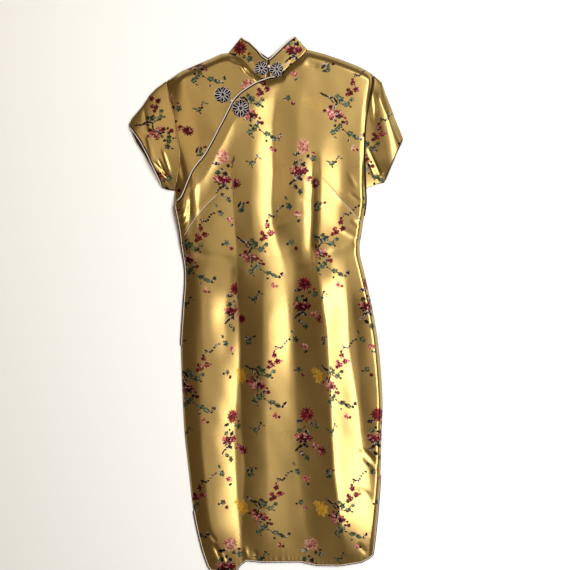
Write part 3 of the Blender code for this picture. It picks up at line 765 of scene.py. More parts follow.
def dense(points, step):
    """The same line with a point about every step along it."""
    lengths = np.concatenate([[0.0], np.cumsum(np.linalg.norm(np.diff(points, axis=0), axis=1))])
    target = np.linspace(0.0, lengths[-1], max(2, round(lengths[-1] / step)))
    return np.stack([np.interp(target, lengths, points[:, axis]) for axis in range(3)], axis=1)


# Materials

def new_material(name):
    material = bpy.data.materials.new(name)
    material.use_nodes = True
    tree = material.node_tree
    return material, tree, tree.nodes["Principled BSDF"]


def new_group(name, sockets):
    """A node group with its inputs and outputs, given as (name, direction, kind)."""
    group = bpy.data.node_groups.new(name, "ShaderNodeTree")
    for socket, direction, kind in sockets:
        group.interface.new_socket(socket, in_out=direction, socket_type="NodeSocket" + kind)
    return group, group.nodes.new("NodeGroupInput"), group.nodes.new("NodeGroupOutput")


def link(tree, start, end):
    tree.links.new(start, end)


def math_node(tree, operation, first, second=None, third=None):
    node = tree.nodes.new("ShaderNodeMath")
    node.operation = operation
    for index, value in enumerate((first, second, third)):
        if value is None:
            continue
        if isinstance(value, (int, float)):
            node.inputs[index].default_value = value
        else:
            link(tree, value, node.inputs[index])
    return node.outputs[0]


def greater(tree, first, second):
    """The greater of two values, where the first may still be missing."""
    return second if first is None else math_node(tree, "MAXIMUM", first, second)


def soft_step(tree, value, level, steepness):
    """0 below a level, then 1 past a narrow soft edge."""
    step = math_node(tree, "MULTIPLY", math_node(tree, "SUBTRACT", value, level), steepness)
    step.node.use_clamp = True
    return step


def noise(tree, place, scale, detail):
    node = tree.nodes.new("ShaderNodeTexNoise")
    node.inputs["Scale"].default_value = scale
    node.inputs["Detail"].default_value = detail
    link(tree, place, node.inputs["Vector"])
    return node


def mix_colour(tree, share, first, second):
    node = tree.nodes.new("ShaderNodeMix")
    node.data_type = "RGBA"
    share_socket, first_socket, second_socket = node.inputs[0], node.inputs[6], node.inputs[7]
    for socket, value in ((share_socket, share), (first_socket, first), (second_socket, second)):
        if isinstance(value, tuple):
            socket.default_value = (*value, 1.0)
        else:
            link(tree, value, socket)
    return node.outputs[2]


def colour_ramp(tree, value, stops):
    node = tree.nodes.new("ShaderNodeValToRGB")
    ramp = node.color_ramp
    while len(ramp.elements) < len(stops):
        ramp.elements.new(0.5)
    for element, (position, colour) in zip(ramp.elements, stops):
        element.position = position
        element.color = (*colour, 1.0)
    link(tree, value, node.inputs[0])
    return node.outputs[0]


def shade(colour, share):
    """The same colour, darker."""
    return tuple(share * channel for channel in colour)


# The woven repeat, charted in millimetres from the middle of its big chrysanthemum.
Shape = namedtuple("Shape", "thread x y half_width half_height turn petals")
CHART = tuple(Shape(*row) for row in (
    # The big chrysanthemum with the leaves beneath it
    ("bloom", 0, 0, 13.5, 14, 0, 13), ("dark", -15, -14, 6.5, 3.2, 5, 0),
    ("leaf", 19, -22, 6, 6.5, 0, 5), ("dark", 8, -18, 3.2, 3.2, 0, 0),
    ("crimson", 18, -12, 3.4, 2.4, 0, 0), ("dark", -6, -26, 2.8, 2.6, 0, 0),
    ("leaf", -15, -32, 6, 5, 20, 5), ("dark", 0, -34, 5.5, 5, 0, 3),
    # The crimson cluster, the second chrysanthemum and the pink flower beneath
    ("dark", -8, -49, 15, 8, 8, 7), ("dark", 62, 62, 15, 8, -28, 7),
    ("crimson", -11, -46, 9.5, 8.5, 0, 5), ("crimson", 4, -46, 7.6, 7, 30, 5),
    ("rose", -21, -43, 5.5, 5.5, 0, 5), ("rose", -4, -40, 4, 3.5, 0, 5),
    ("dark", -4, -61, 6.6, 3, -30, 0), ("dark", -14, -63, 5, 2.6, 35, 0),
    ("dark", -21, -69, 5, 2, 50, 0), ("rose", 12, -63, 5, 4.6, 0, 5),
    ("crimson", 30, -70, 12, 9.5, -25, 11), ("rose", 17, -59, 6, 4, -20, 5),
    ("dark", -11, -77, 5, 3.4, -40, 0), ("leaf", -1, -86, 5, 6.4, 15, 5),
    ("leaf", -21, -113, 5.5, 7, 35, 5), ("leaf", -28, -98, 2.2, 4, 30, 0),
    ("dark", -34, -113, 2.4, 2.2, 0, 0), ("rose", -4, -126, 8, 5.6, -10, 5),
    ("dark", -1, -137, 3.6, 2.2, 20, 0),
    # The small palm beside it
    ("dark", 42, -110, 2.4, 6.5, -28, 0), ("leaf", 49, -112, 3, 6, -15, 0),
    ("leaf", 46, -120, 6.5, 3.2, 10, 0), ("crimson", 58, -107, 3.4, 2.4, 10, 0),
    # The insect: wings, body, neck, head and legs
    ("fine", 50, -28.5, 5, 1.3, -20, 0), ("leaf", 59, -31.5, 5.4, 4.2, 25, 0),
    ("dark", 65.5, -29, 2, 2.3, 0, 0), ("fine", 66.5, -23, 3.8, 1.3, 55, 0),
    ("dark", 69.5, -17.5, 2.5, 2.3, 0, 0), ("fine", 75, -22, 3.6, 1.2, -20, 0),
    ("fine", 60, -38, 3.8, 1.3, -60, 0),
    # The branch: trunk, twigs, leaves and blossoms above
    ("dark", 43, 98.5, 8, 1.9, -37, 0), ("dark", 54, 93.7, 6.6, 2.2, -5, 0),
    ("dark", 63, 88, 7.4, 2.2, -57, 0), ("dark", 62, 77, 8.4, 1.6, 58, 0),
    ("dark", 56, 87, 5.4, 1.2, -50, 0), ("leaf", 66.5, 97, 4.8, 4.2, 0, 5),
    ("leaf", 73, 90, 7, 6.6, 0, 5), ("leaf", 84.5, 80.5, 7.8, 5, 0, 5),
    ("fine", 75, 81.5, 7, 0.9, 0, 0), ("dark", 92.5, 76, 2.2, 2, 0, 0),
    ("leaf", 95.4, 89.4, 4.4, 4, 0, 5), ("fine", 89, 86, 5, 1, 45, 0),
    ("crimson", 88, 108.6, 4.6, 4.6, 0, 5), ("crimson", 93, 102.6, 5.6, 5.4, 0, 5),
    ("crimson", 86, 98.6, 4.6, 4.4, 20, 5), ("crimson", 103.6, 109.4, 6, 5.8, 0, 5),
    ("rose", 111, 110, 3, 2, 0, 0), ("crimson", 97.4, 121.6, 5.4, 5.6, 0, 5),
    ("crimson", 97, 129, 2.8, 2.6, 0, 0), ("dark", 101, 134, 1.6, 1.4, 0, 0),
    # The rose blossoms under the trunk
    ("rose", 50.5, 66.5, 6.5, 5.4, 0, 5), ("rose", 56, 60, 7.8, 8, 0, 5),
    ("crimson", 54, 53.6, 4.8, 4, 0, 5), ("crimson", 42.6, 68.2, 3.2, 3, 0, 0),
    ("crimson", 53, 75.4, 4, 3.8, 0, 0), ("rose", 65, 68.4, 3, 2.6, 0, 0),
    ("rose", 72, 66.4, 4, 4, 0, 5), ("crimson", 73.6, 59.4, 6.4, 5, -15, 5),
    ("crimson", 82, 54.4, 2.6, 2.4, 0, 0), ("dark", 77.2, 46.8, 3.2, 3, 0, 0),
    ("crimson", 84.6, 45.8, 4, 3.8, 0, 0), ("fine", 62.8, 50, 2.6, 3, 0, 0),
    # The side twig with its leaves, berries and bud
    ("leaf", 72.2, 39.4, 5.4, 5, 0, 5), ("leaf", 67, 33.6, 5.6, 5.2, 0, 5),
    ("dark", 61.4, 40.2, 3.6, 3.2, 0, 3), ("dark", 77.4, 32.2, 2.2, 2, 0, 0),
    ("leaf", 58, 27.4, 6, 6, 0, 5), ("fine", 62.5, 18, 3.4, 1.4, -40, 0),
    ("fine", 83, 28.6, 6.4, 0.9, -32, 0), ("leaf", 92, 24.8, 7.4, 5.2, 0, 5),
    ("leaf", 103, 18.2, 6.8, 4, -35, 0), ("dark", 89.2, 11.8, 2.4, 2.2, 0, 0),
    ("dark", 113.4, 15, 2.6, 3, 0, 0), ("dark", 118.4, 21.8, 4.2, 4.2, 0, 3),
    ("rose", 98.6, -3.2, 4.6, 6.4, 10, 3), ("crimson", 106, -6, 2.8, 2.6, 0, 0),
    # The berry sprig, and the ochre flower beside the trunk
    ("leaf", -15.8, 93.2, 5.4, 6, 20, 5), ("dark", -24.4, 90.4, 2.4, 2.2, 0, 0),
    ("crimson", -7.4, 82.6, 3.6, 3.6, 0, 0), ("ochre", 27, 80, 13, 15, 0, 7),
    ("ochre", 16, 92, 7, 6, 0, 5),
))
DOTTED_VINE = tuple(Shape("dark", x, y, 2.3, 2.0, 0, 0) for x, y in (
    (-61, -127), (-57, -129), (-52, -130), (-48, -127), (-44, -121), (-40, -116)))
GOLD_ARCS = (
    Shape("arc", -18, -92, 12, 11, 0, 0), Shape("arc", -44, -66, 12, 26, 0, 0),
    Shape("arc", -56, -62, 11, 20, 0, 0), Shape("arc", -34, -60, 10, 22, 0, 0),
)
ARC_COLOUR, ARC_SHARE = (0.30, 0.19, 0.06), 0.35
ARC_LEVEL, ARC_HALF_LINE = 0.07, 0.035
# The ochre flowers are bright in the skirt's lower rows and faint above them.
OCHRE_FAINT, OCHRE_BRIGHT = 0.16, 0.86
OCHRE_ROWS_BELOW = -1.5
# Threads in the order in which they are laid over the ground and each other.
THREAD_ORDER = ("ochre", "leaf", "fine", "dark", "crimson", "rose", "bloom")
# Each thread's colours, from its darkest cells to its palest.
THREAD_COLOURS = {
    "ochre": ((0.0, (0.26, 0.12, 0.01)), (0.4, (0.52, 0.26, 0.01)), (0.9, (0.62, 0.38, 0.05))),
    "leaf": ((0.04, (0.003, 0.004, 0.003)), (0.36, (0.022, 0.034, 0.018)),
             (0.6, (0.055, 0.085, 0.045)), (0.8, (0.13, 0.16, 0.10)), (1.0, (0.36, 0.34, 0.27))),
    "fine": ((0.1, (0.02, 0.02, 0.012)), (0.6, (0.10, 0.09, 0.05))),
    "dark": ((0.1, (0.002, 0.002, 0.002)), (0.6, (0.005, 0.004, 0.006)),
             (0.72, (0.05, 0.035, 0.05)), (0.95, (0.62, 0.52, 0.52))),
    "crimson": ((0.05, (0.004, 0.001, 0.002)), (0.35, (0.05, 0.001, 0.005)),
                (0.6, (0.13, 0.003, 0.010)), (0.78, (0.22, 0.015, 0.02)),
                (0.98, (0.56, 0.36, 0.34))),
    "rose": ((0.05, (0.04, 0.003, 0.006)), (0.3, (0.20, 0.02, 0.03)), (0.6, (0.40, 0.12, 0.09)),
             (0.95, (0.60, 0.42, 0.34))),
    "pink bloom": ((0.1, (0.14, 0.02, 0.02)), (0.4, (0.36, 0.12, 0.085)),
                   (0.7, (0.50, 0.27, 0.19)), (1.0, (0.62, 0.44, 0.32))),
    "crimson bloom": ((0.1, (0.010, 0.001, 0.003)), (0.4, (0.08, 0.002, 0.008)),
                      (0.7, (0.20, 0.008, 0.018)), (1.0, (0.36, 0.10, 0.08))),
}
SHAPE_GROWTH = 1.3
PETAL_NOTCH, NOTCH_REACH = 0.13, 1.3
RAGGEDNESS, RAGGED_SCALE = 3.4, 0.42
CELL_SCALE = 0.28
# Level and steepness of a soft step: a shape's edge, and the dark outline just inside it.
THREAD_EDGE = (0.10, 9.0)
INNER_EDGE = (0.14, 7.0)
THREAD_RELIEF = 0.0002
SATIN_METAL, THREADS_METAL = 0.88, 0.72
SATIN_ROUGHNESS, THREADS_ROUGHNESS = 0.25, 0.45
UNEVEN_ROUGHNESS = 0.08


def shape_value(tree, place, shape):
    """1 at a shape's middle and 0 from its outline outwards."""
    mapping = tree.nodes.new("ShaderNodeMapping")
    mapping.vector_type = "TEXTURE"
    mapping.inputs["Location"].default_value = (shape.x, shape.y, 0)
    mapping.inputs["Rotation"].default_value = (0, 0, math.radians(shape.turn))
    mapping.inputs["Scale"].default_value = (
        SHAPE_GROWTH * shape.half_width, SHAPE_GROWTH * shape.half_height, 1)
    link(tree, place, mapping.inputs["Vector"])
    middle = tree.nodes.new("ShaderNodeTexGradient")
    middle.gradient_type = "SPHERICAL"
    link(tree, mapping.outputs[0], middle.inputs["Vector"])
    if not shape.petals:
        return middle.outputs["Fac"]
    round_it = tree.nodes.new("ShaderNodeTexGradient")
    round_it.gradient_type = "RADIAL"
    link(tree, mapping.outputs[0], round_it.inputs["Vector"])
    angle = math_node(tree, "MULTIPLY", round_it.outputs["Fac"], 2 * math.pi * shape.petals)
    wave = math_node(tree, "COSINE", angle)
    notch = math_node(tree, "MULTIPLY_ADD", wave, PETAL_NOTCH, -PETAL_NOTCH)
    towards_edge = math_node(tree, "SUBTRACT", NOTCH_REACH, middle.outputs["Fac"])
    return math_node(tree, "MULTIPLY_ADD", notch, towards_edge, middle.outputs["Fac"])


def wrapped(shape):
    """A shape and the copies of it that cross the edges of the repeat."""
    (low_x, high_x), (low_y, high_y) = REPEAT_WINDOW
    reach = max(shape.half_width, shape.half_height)
    copies = []
    for step_x in (-1, 0, 1):
        for step_y in (-1, 0, 1):
            x = shape.x + step_x * (high_x - low_x)
            y = shape.y + step_y * (high_y - low_y)
            inside_x = low_x - reach < x < high_x + reach
            inside_y = low_y - reach < y < high_y + reach
            if inside_x and inside_y:
                copies.append(shape._replace(x=x, y=y))
    return copies


def place_on_repeat(group, place):
    """A place within one repeat, made a little ragged, its height there, and the row it is in."""
    (low_x, high_x), (low_y, high_y) = REPEAT_WINDOW
    ragged = noise(group, place, RAGGED_SCALE, 2.0)
    shaken = group.nodes.new("ShaderNodeVectorMath")
    shaken.operation = "MULTIPLY_ADD"
    shaken.inputs[1].default_value = (RAGGEDNESS, RAGGEDNESS, 0)
    link(group, ragged.outputs["Color"], shaken.inputs[0])
    link(group, place, shaken.inputs[2])
    parts = group.nodes.new("ShaderNodeSeparateXYZ")
    link(group, shaken.outputs[0], parts.inputs[0])
    along_x = math_node(group, "SUBTRACT", parts.outputs[0], RAGGEDNESS / 2)
    along_y = math_node(group, "SUBTRACT", parts.outputs[1], RAGGEDNESS / 2)
    x = math_node(group, "WRAP", along_x, high_x, low_x)
    y = math_node(group, "WRAP", along_y, high_y, low_y)
    joined = group.nodes.new("ShaderNodeCombineXYZ")
    link(group, x, joined.inputs[0])
    link(group, y, joined.inputs[1])
    above = math_node(group, "SUBTRACT", along_y, low_y)
    row = math_node(group, "FLOOR", math_node(group, "DIVIDE", above, high_y - low_y))
    return joined.outputs[0], y, row


def thread_values(group, place):
    """For each thread, 1 in the middle of its shapes and 0 from their outlines outwards."""
    values = {}
    for shape in CHART + DOTTED_VINE:
        for copy in wrapped(shape):
            value = shape_value(group, place, copy)
            values[shape.thread] = greater(group, values.get(shape.thread), value)
    return values


def arc_lines(group, place, y):
    """1 on the fine arcs of grass that are woven into the ground."""
    arcs = None
    for arc in GOLD_ARCS:
        value = shape_value(group, place, arc)
        ring = math_node(group, "COMPARE", value, ARC_LEVEL, ARC_HALF_LINE)
        upper_half = math_node(group, "GREATER_THAN", y, arc.y + 1.0)
        arcs = greater(group, arcs, math_node(group, "MULTIPLY", ring, upper_half))
    return arcs


def petal_cells(group, place):
    """Small cells that make each flower a cluster of uneven petals: what is kept, and its tone."""
    cells = group.nodes.new("ShaderNodeTexVoronoi")
    cells.voronoi_dimensions = "2D"
    cells.inputs["Scale"].default_value = CELL_SCALE
    link(group, place, cells.inputs["Vector"])
    split = group.nodes.new("ShaderNodeSeparateColor")
    link(group, cells.outputs["Color"], split.inputs[0])
    kept = math_node(group, "MULTIPLY_ADD", split.outputs[0], 1.1, 0.55)
    tone = math_node(group, "MULTIPLY_ADD", split.outputs[0], 0.72, -0.10)
    return kept, math_node(group, "MULTIPLY_ADD", cells.outputs["Distance"], 0.55, tone)


def thread_colour(group, thread, value, tone, row):
    """A thread's colour: leaves have dark outlines, and every third row of blooms is pink."""
    if thread == "bloom":
        pink = colour_ramp(group, tone, THREAD_COLOURS["pink bloom"])
        crimson = colour_ramp(group, tone, THREAD_COLOURS["crimson bloom"])
        pick = math_node(group, "LESS_THAN", math_node(group, "WRAP", row, 3.0, 0.0), 0.5)
        return mix_colour(group, pick, crimson, pink)
    if thread == "leaf":
        tone = math_node(group, "MULTIPLY", tone, soft_step(group, value, *INNER_EDGE))
    return colour_ramp(group, tone, THREAD_COLOURS[thread])


def brocade_group():
    """The woven repeat: its colour, and where its threads lie on the ground."""
    group, start, end = new_group("Woven flower repeat", (
        ("Place", "INPUT", "Vector"), ("Ground", "INPUT", "Color"),
        ("Colour", "OUTPUT", "Color"), ("Threads", "OUTPUT", "Float")))
    scaled = group.nodes.new("ShaderNodeVectorMath")
    scaled.operation = "SCALE"
    scaled.inputs["Scale"].default_value = 1 / MM
    link(group, start.outputs["Place"], scaled.inputs[0])
    place, y, row = place_on_repeat(group, scaled.outputs[0])
    kept, tone = petal_cells(group, scaled.outputs[0])
    values = thread_values(group, place)
    arcs = math_node(group, "MULTIPLY", arc_lines(group, place, y), ARC_SHARE)
    colour = mix_colour(group, arcs, start.outputs["Ground"], ARC_COLOUR)
    threads = None
    for thread in THREAD_ORDER:
        value = math_node(group, "MULTIPLY", values[thread], kept)
        mask = soft_step(group, value, *THREAD_EDGE)
        if thread == "ochre":
            low_row = math_node(group, "LESS_THAN", row, OCHRE_ROWS_BELOW)
            strength = math_node(
                group, "MULTIPLY_ADD", low_row, OCHRE_BRIGHT - OCHRE_FAINT, OCHRE_FAINT)
            mask = math_node(group, "MULTIPLY", mask, strength)
        colour = mix_colour(group, mask, colour, thread_colour(group, thread, value, tone, row))
        threads = greater(group, threads, mask)
    link(group, colour, end.inputs["Colour"])
    link(group, threads, end.inputs["Threads"])
    return group


def weave_group():
    """Fine satin floats along the cloth with slow changes in how tightly they lie."""
    group, start, end = new_group("Satin floats", (
        ("Place", "INPUT", "Vector"), ("Height", "OUTPUT", "Float"),
        ("Sheen change", "OUTPUT", "Float")))
    stretch = group.nodes.new("ShaderNodeMapping")
    stretch.inputs["Scale"].default_value = (1400.0, 120.0, 1.0)
    link(group, start.outputs["Place"], stretch.inputs["Vector"])
    floats = noise(group, stretch.outputs[0], 1.0, 2.0)
    slow = noise(group, start.outputs["Place"], 16.0, 3.0)
    link(group, floats.outputs[0], end.inputs["Height"])
    link(group, slow.outputs[0], end.inputs["Sheen change"])
    return group


def on_the_cloth(tree, group):
    """A node group that reads the cloth's own place on the woven repeat."""
    uv = tree.nodes.new("ShaderNodeUVMap")
    uv.uv_map = "repeat"
    node = tree.nodes.new("ShaderNodeGroup")
    node.node_tree = group
    link(tree, uv.outputs[0], node.inputs["Place"])
    return node


def thread_bump(tree, shader, height, strength):
    bump = tree.nodes.new("ShaderNodeBump")
    bump.inputs["Strength"].default_value = strength
    bump.inputs["Distance"].default_value = THREAD_RELIEF
    link(tree, height, bump.inputs["Height"])
    link(tree, bump.outputs[0], shader.inputs["Normal"])


def brocade_material(settings, repeat, weave):
    """Right side of the cloth: bright satin, with the flowers' threads a little rougher."""
    _, tree, shader = new_material("Gold satin brocade")
    flowers, floats = on_the_cloth(tree, repeat), on_the_cloth(tree, weave)
    gold = tuple(settings.gold)
    ground = mix_colour(tree, floats.outputs["Sheen change"], shade(gold, 0.88), gold)
    link(tree, ground, flowers.inputs["Ground"])
    link(tree, flowers.outputs["Colour"], shader.inputs["Base Color"])
    threads = flowers.outputs["Threads"]
    metal = math_node(tree, "MULTIPLY_ADD", threads, THREADS_METAL - SATIN_METAL, SATIN_METAL)
    link(tree, metal, shader.inputs["Metallic"])
    rough = math_node(
        tree, "MULTIPLY_ADD", threads, THREADS_ROUGHNESS - SATIN_ROUGHNESS, SATIN_ROUGHNESS)
    rough = math_node(
        tree, "MULTIPLY_ADD", floats.outputs["Sheen change"], UNEVEN_ROUGHNESS, rough)
    link(tree, rough, shader.inputs["Roughness"])
    shader.inputs["Anisotropic"].default_value = 0.45
    shader.inputs["Coat Weight"].default_value = 0.06
    shader.inputs["Coat Roughness"].default_value = 0.22
    shader.inputs["Specular IOR Level"].default_value = 0.3
    thread_bump(tree, shader, floats.outputs["Height"], 0.12)


def reverse_material(weave):
    """Wrong side of the cloth, where the flowers' threads run loose: dull and dark, and part of that
    darkness is painted shade for the shadow inside the sleeves and in the gaps between the layers.
    """
    _, tree, shader = new_material("Brocade reverse with painted shade")
    floats = on_the_cloth(tree, weave)
    # Partly the reverse's own dull colour, partly painted shade: these dark tones stand for the
    # shadow inside the sleeves and between the layers.
    colour = mix_colour(
        tree, floats.outputs["Sheen change"], (0.05, 0.025, 0.02), (0.16, 0.08, 0.05))
    link(tree, colour, shader.inputs["Base Color"])
    shader.inputs["Roughness"].default_value = 0.7
    thread_bump(tree, shader, floats.outputs["Height"], 0.2)


def trim_material(name, light, dark, roughness, gloss=0.5, metal=0.0):
    """Satin or cord trim: fine diagonal threads in two near colours."""
    _, tree, shader = new_material(name)
    place = tree.nodes.new("ShaderNodeTexCoord")
    threads = tree.nodes.new("ShaderNodeTexWave")
    threads.wave_type = "BANDS"
    threads.bands_direction = "DIAGONAL"
    threads.inputs["Scale"].default_value = 900.0
    threads.inputs["Distortion"].default_value = 1.5
    link(tree, place.outputs["Object"], threads.inputs["Vector"])
    colour = mix_colour(tree, threads.outputs["Fac"], dark, light)
    link(tree, colour, shader.inputs["Base Color"])
    shader.inputs["Roughness"].default_value = roughness
    shader.inputs["Specular IOR Level"].default_value = gloss
    shader.inputs["Metallic"].default_value = metal
    thread_bump(tree, shader, threads.outputs["Fac"], 0.25)


def materials(settings):
    """The dress's materials, made once."""
    if "Gold satin brocade" not in bpy.data.materials:
        weave = weave_group()
        brocade_material(settings, brocade_group(), weave)
        reverse_material(weave)
        gold, pale, lavender = (
            tuple(colour) for colour in (settings.gold, settings.pale, settings.lavender))
        trim_material("Pale satin piping and painted highlight", pale, shade(pale, 0.7), 0.34)
        trim_material(
            "Black piping and painted shadow", (0.008, 0.006, 0.007), (0.003, 0.002, 0.003), 0.55, gloss=0.12)
        trim_material("Silvery knot cord", lavender, shade(lavender, 0.6), 0.40)
        trim_material(
            "Black satin filling", (0.008, 0.006, 0.008), (0.003, 0.002, 0.003), 0.5, gloss=0.15)
        # The darts' seam thread is coloured dark brown as painted shade in the seams' grooves.
        trim_material("Seam thread darkened as painted shade", (0.22, 0.14, 0.05), (0.05, 0.03, 0.010), 0.45)
        trim_material("Gold satin ridge", gold, (0.30, 0.20, 0.07), 0.34, metal=0.85)
    return bpy.data.materials


class DressSettings(bpy.types.PropertyGroup):
    """Sizes and colours of the dress."""
    cloth_wall: FloatProperty(
        name="Cloth wall", description="Thickness of the satin", default=0.0007, unit="LENGTH")
    piping_radius: FloatProperty(
        name="Piping", description="Radius of the pale piping", default=0.0011, unit="LENGTH")
    dark_line: FloatProperty(
        name="Dark line", description="Radius of the dark second piping", default=0.0011,
        unit="LENGTH")
    cord_radius: FloatProperty(
        name="Knot cord", description="Radius of the flower knots' cord", default=0.00038,
        unit="LENGTH")
    seam_radius: FloatProperty(
        name="Dart seam", description="Radius of the darts' stitched ridge", default=0.0006,
        unit="LENGTH")
    gold: FloatVectorProperty(
        name="Gold", description="Ground of the satin", default=(0.44, 0.304, 0.108), subtype="COLOR")
    pale: FloatVectorProperty(
        name="Piping colour", description="Pale satin of the piping", default=(0.80, 0.70, 0.62),
        subtype="COLOR")
    lavender: FloatVectorProperty(
        name="Cord colour", description="Cord of the flower knots", default=(0.80, 0.75, 0.78),
        subtype="COLOR")


class DRESS_OT_panels(bpy.types.Operator):
    """Main front, small right front and back as thin cloth"""
    bl_idname = "dress.panels"
    bl_label = "Front and back"

    def execute(self, context):
        settings = context.scene.dress
        found = materials(settings)
        outer, inner = found["Gold satin brocade"], found["Brocade reverse with painted shade"]
        front = grid_mesh("front_cloth", *FRONT_GRID, panel_place(
            right_side, HEM, FRONT_TOP, front_height))
        cloth_wall(front, settings.cloth_wall, outer, inner)
        settle(front, "gold_satin", "front_panel")
        right_front = grid_mesh("right_front_cloth", *RIGHT_FRONT_GRID, panel_place(
            inner_edge, OPENING, RIGHT_FRONT_TOP, right_front_height, RIGHT_FRONT_REPEAT,
            OVERLAP_WIDTH))
        cloth_wall(right_front, settings.cloth_wall, outer, inner)
        settle(right_front, "gold_satin", "right_front")
        back = grid_mesh("back_cloth", *BACK_GRID, panel_place(
            right_side, HEM, BACK_TOP, back_height))
        cloth_wall(back, settings.cloth_wall, inner, outer)
        settle(back, "gold_satin", "back_panel")
        return {"FINISHED"}


class DRESS_OT_sleeves(bpy.types.Operator):
    """Short sleeves as flattened tubes with open hems"""
    bl_idname = "dress.sleeves"
    bl_label = "Sleeves"

    def execute(self, context):
        settings = context.scene.dress
        found = materials(settings)
        for sleeve in SLEEVES:
            obj = grid_mesh(
                sleeve.name + "_cloth", *SLEEVE_GRID, sleeve_place(sleeve), merge=MERGE_DISTANCE)
            cloth_wall(obj, settings.cloth_wall, found["Gold satin brocade"],
                       found["Brocade reverse with painted shade"])
            settle(obj, "gold_satin", sleeve.name)
        return {"FINISHED"}


class DRESS_OT_collar(bpy.types.Operator):
    """Standing collar, folded flat at both sides of the neck"""
    bl_idname = "dress.collar"
    bl_label = "Collar"

    def execute(self, context):
        settings = context.scene.dress
        found = materials(settings)
        obj = grid_mesh("collar_cloth", *COLLAR_GRID, collar_place)
        cloth_wall(obj, settings.cloth_wall, found["Gold satin brocade"],
                   found["Brocade reverse with painted shade"])
        settle(obj, "gold_satin", "collar")
        return {"FINISHED"}


class DRESS_OT_piping(bpy.types.Operator):
    """Pale piping with its dark second line along every finished edge, and a black cord at the right
    armhole as painted shadow
    """
    bl_idname = "dress.piping"
    bl_label = "Piping"

    def execute(self, context):
        settings = context.scene.dress
        found = materials(settings)
        pale, dark = found["Pale satin piping and painted highlight"], found["Black piping and painted shadow"]
        wide = settings.piping_radius / MM
        fine = settings.dark_line / MM
        beside = wide + PIPING_GAP

        def pair(name, edge, pale_place, dark_place, nodes=(), pale_share=1.0):
            """Pale and dark cords along an edge, each moved (out, up) from it."""
            light = cord_mesh(
                name + "_pale", [moved_out(edge, *pale_place)], wide * pale_share, pale)
            settle(light, "pale_piping", *nodes)
            line = cord_mesh(name + "_dark", [moved_out(edge, *dark_place)], fine, dark)
            settle(line, "pale_piping")

        curved = line_edge(OPENING, start=20, stop=-177, step=-2.0)
        curved[:, 2] = np.maximum(curved[:, 2], LOWEST_PIPING)
        pair("opening", curved, (beside, 0.4), (-fine, 1.0), ["piping_opening"], 0.98)
        side = side_edge(left_side, start=735, stop=SIDE_OPENING_END, step=-4.0)
        side[:, 2] = np.maximum(side[:, 2], LOWEST_PIPING)
        pair("side_opening", side, (-0.4, 0.9), (wide - 0.1, 0.0), pale_share=0.6)

        # A black cord along the right armhole is a painted shadow, standing for the shaded gap
        # between the front's edge and the back beneath it.
        armhole = side_edge(right_side, start=715, stop=862, step=4.0)
        line = cord_mesh("right_armhole_painted_shadow", [moved_out(armhole, 0.3, 1.2)], fine, dark)
        settle(line, "pale_piping")

        edge = np.concatenate([
            side_edge(left_side, start=SLIT_TOP_LEFT, stop=8, step=-4.0),
            line_edge(HEM, start=-109, stop=212, step=3.0),
            side_edge(right_side, start=34, stop=SLIT_TOP_RIGHT, step=4.0),
        ])
        edge[:, 2] = np.maximum(edge[:, 2], LOWEST_PIPING)
        pair("hem", edge, (-0.3, 0.4), (1.0, 0.0), ["piping_hem"], 0.65)

        tops = np.array(COLLAR)[:, 3:6]
        for name, start, stop in (("collar_left", 0, 6), ("collar_right", 13, 19)):
            edge = dense(tops[start:stop], 2.0)
            pair(name, edge, (beside, 0.2), (-fine, 0.6), ["piping_" + name])
        edge = dense(tops[8:11][::-1], 2.0)
        edge[:, 2] = wide
        pair("collar_back", edge, (wide + 0.3, 0.0), (0.0, 0.4), ["piping_collar_back"])

        for sleeve in SLEEVES:
            down = np.linspace(0.03, 0.97, 60)
            x, y = sleeve_layer(sleeve, sleeve.front_hem, 1.0, down)
            edge = np.stack([x, y, sleeve_front_z(sleeve, 1.0, down, x, y)], axis=1)
            pair(sleeve.name, edge, (-sleeve.side * beside, 0.1), (sleeve.side * fine, 0.5),
                 ["piping_" + sleeve.name], 0.8)
            if sleeve.front_hem != sleeve.back_hem:
                down = np.linspace(0.12, 0.88, 50)
                x, y = sleeve_layer(sleeve, sleeve.back_hem, 1.0, down)
                edge = np.stack([x, y, np.full(x.shape, wide)], axis=1)
                pair(sleeve.name + "_back", edge, (beside, 0.0), (-fine, 0.3),
                     ["piping_" + sleeve.name + "_back"], 0.8)
        return {"FINISHED"}


def petal_loop(frog, petal, base):
    """One petal's outline: pointed at the middle, broad near the tip, bent to one side."""
    angle = 2 * math.pi * petal / frog.petals + frog.turn + 0.07 * math.sin(petal * 5.1)
    inner = frog.radius * PETAL_START
    length = frog.radius * (0.90 + 0.10 * math.sin(petal * 2.3 + frog.turn * 9))
    bend = 0.30 * math.sin(petal * 1.7 + frog.turn * 7)
    half = frog.radius * PETAL_HALF_WIDTH
    loop = []
    for step in range(PETAL_STEPS):
        turn = 2 * math.pi * step / PETAL_STEPS
        reach = inner + (length - inner) * (0.5 - 0.5 * math.cos(turn))
        swell = half * math.sin(turn) * (0.35 + 0.65 * math.sin(turn / 2) ** 2)
        here = angle + bend * (reach / frog.radius) ** 2
        x = frog.x + reach * math.cos(here) - swell * math.sin(here)
        y = frog.y + reach * math.sin(here) + swell * math.cos(here)
        z = base + 1.0 + 1.3 * math.sin(math.pi * min(reach / frog.radius, 1.0))
        loop.append((x, y, z))
    return loop


def prism(builder, lower, upper):
    """Closed solid between two outlines with as many (x, y, z) points."""
    rims = []
    for outline in (lower, upper):
        face = builder.faces.new([builder.verts.new(to_world(*point)) for point in outline])
        rims.extend(face.edges)
    bmesh.ops.bridge_loops(builder, edges=rims)


def backing_outline(frog, z):
    """Scalloped outline of the black satin under a flower knot."""
    outline = []
    count = BACKING_STEPS * frog.petals
    for step in range(count):
        angle = 2 * math.pi * step / count
        reach = frog.radius * (0.86 + 0.07 * math.cos(frog.petals * (angle - frog.turn)))
        outline.append((frog.x + reach * math.cos(angle), frog.y + reach * math.sin(angle), z))
    return outline


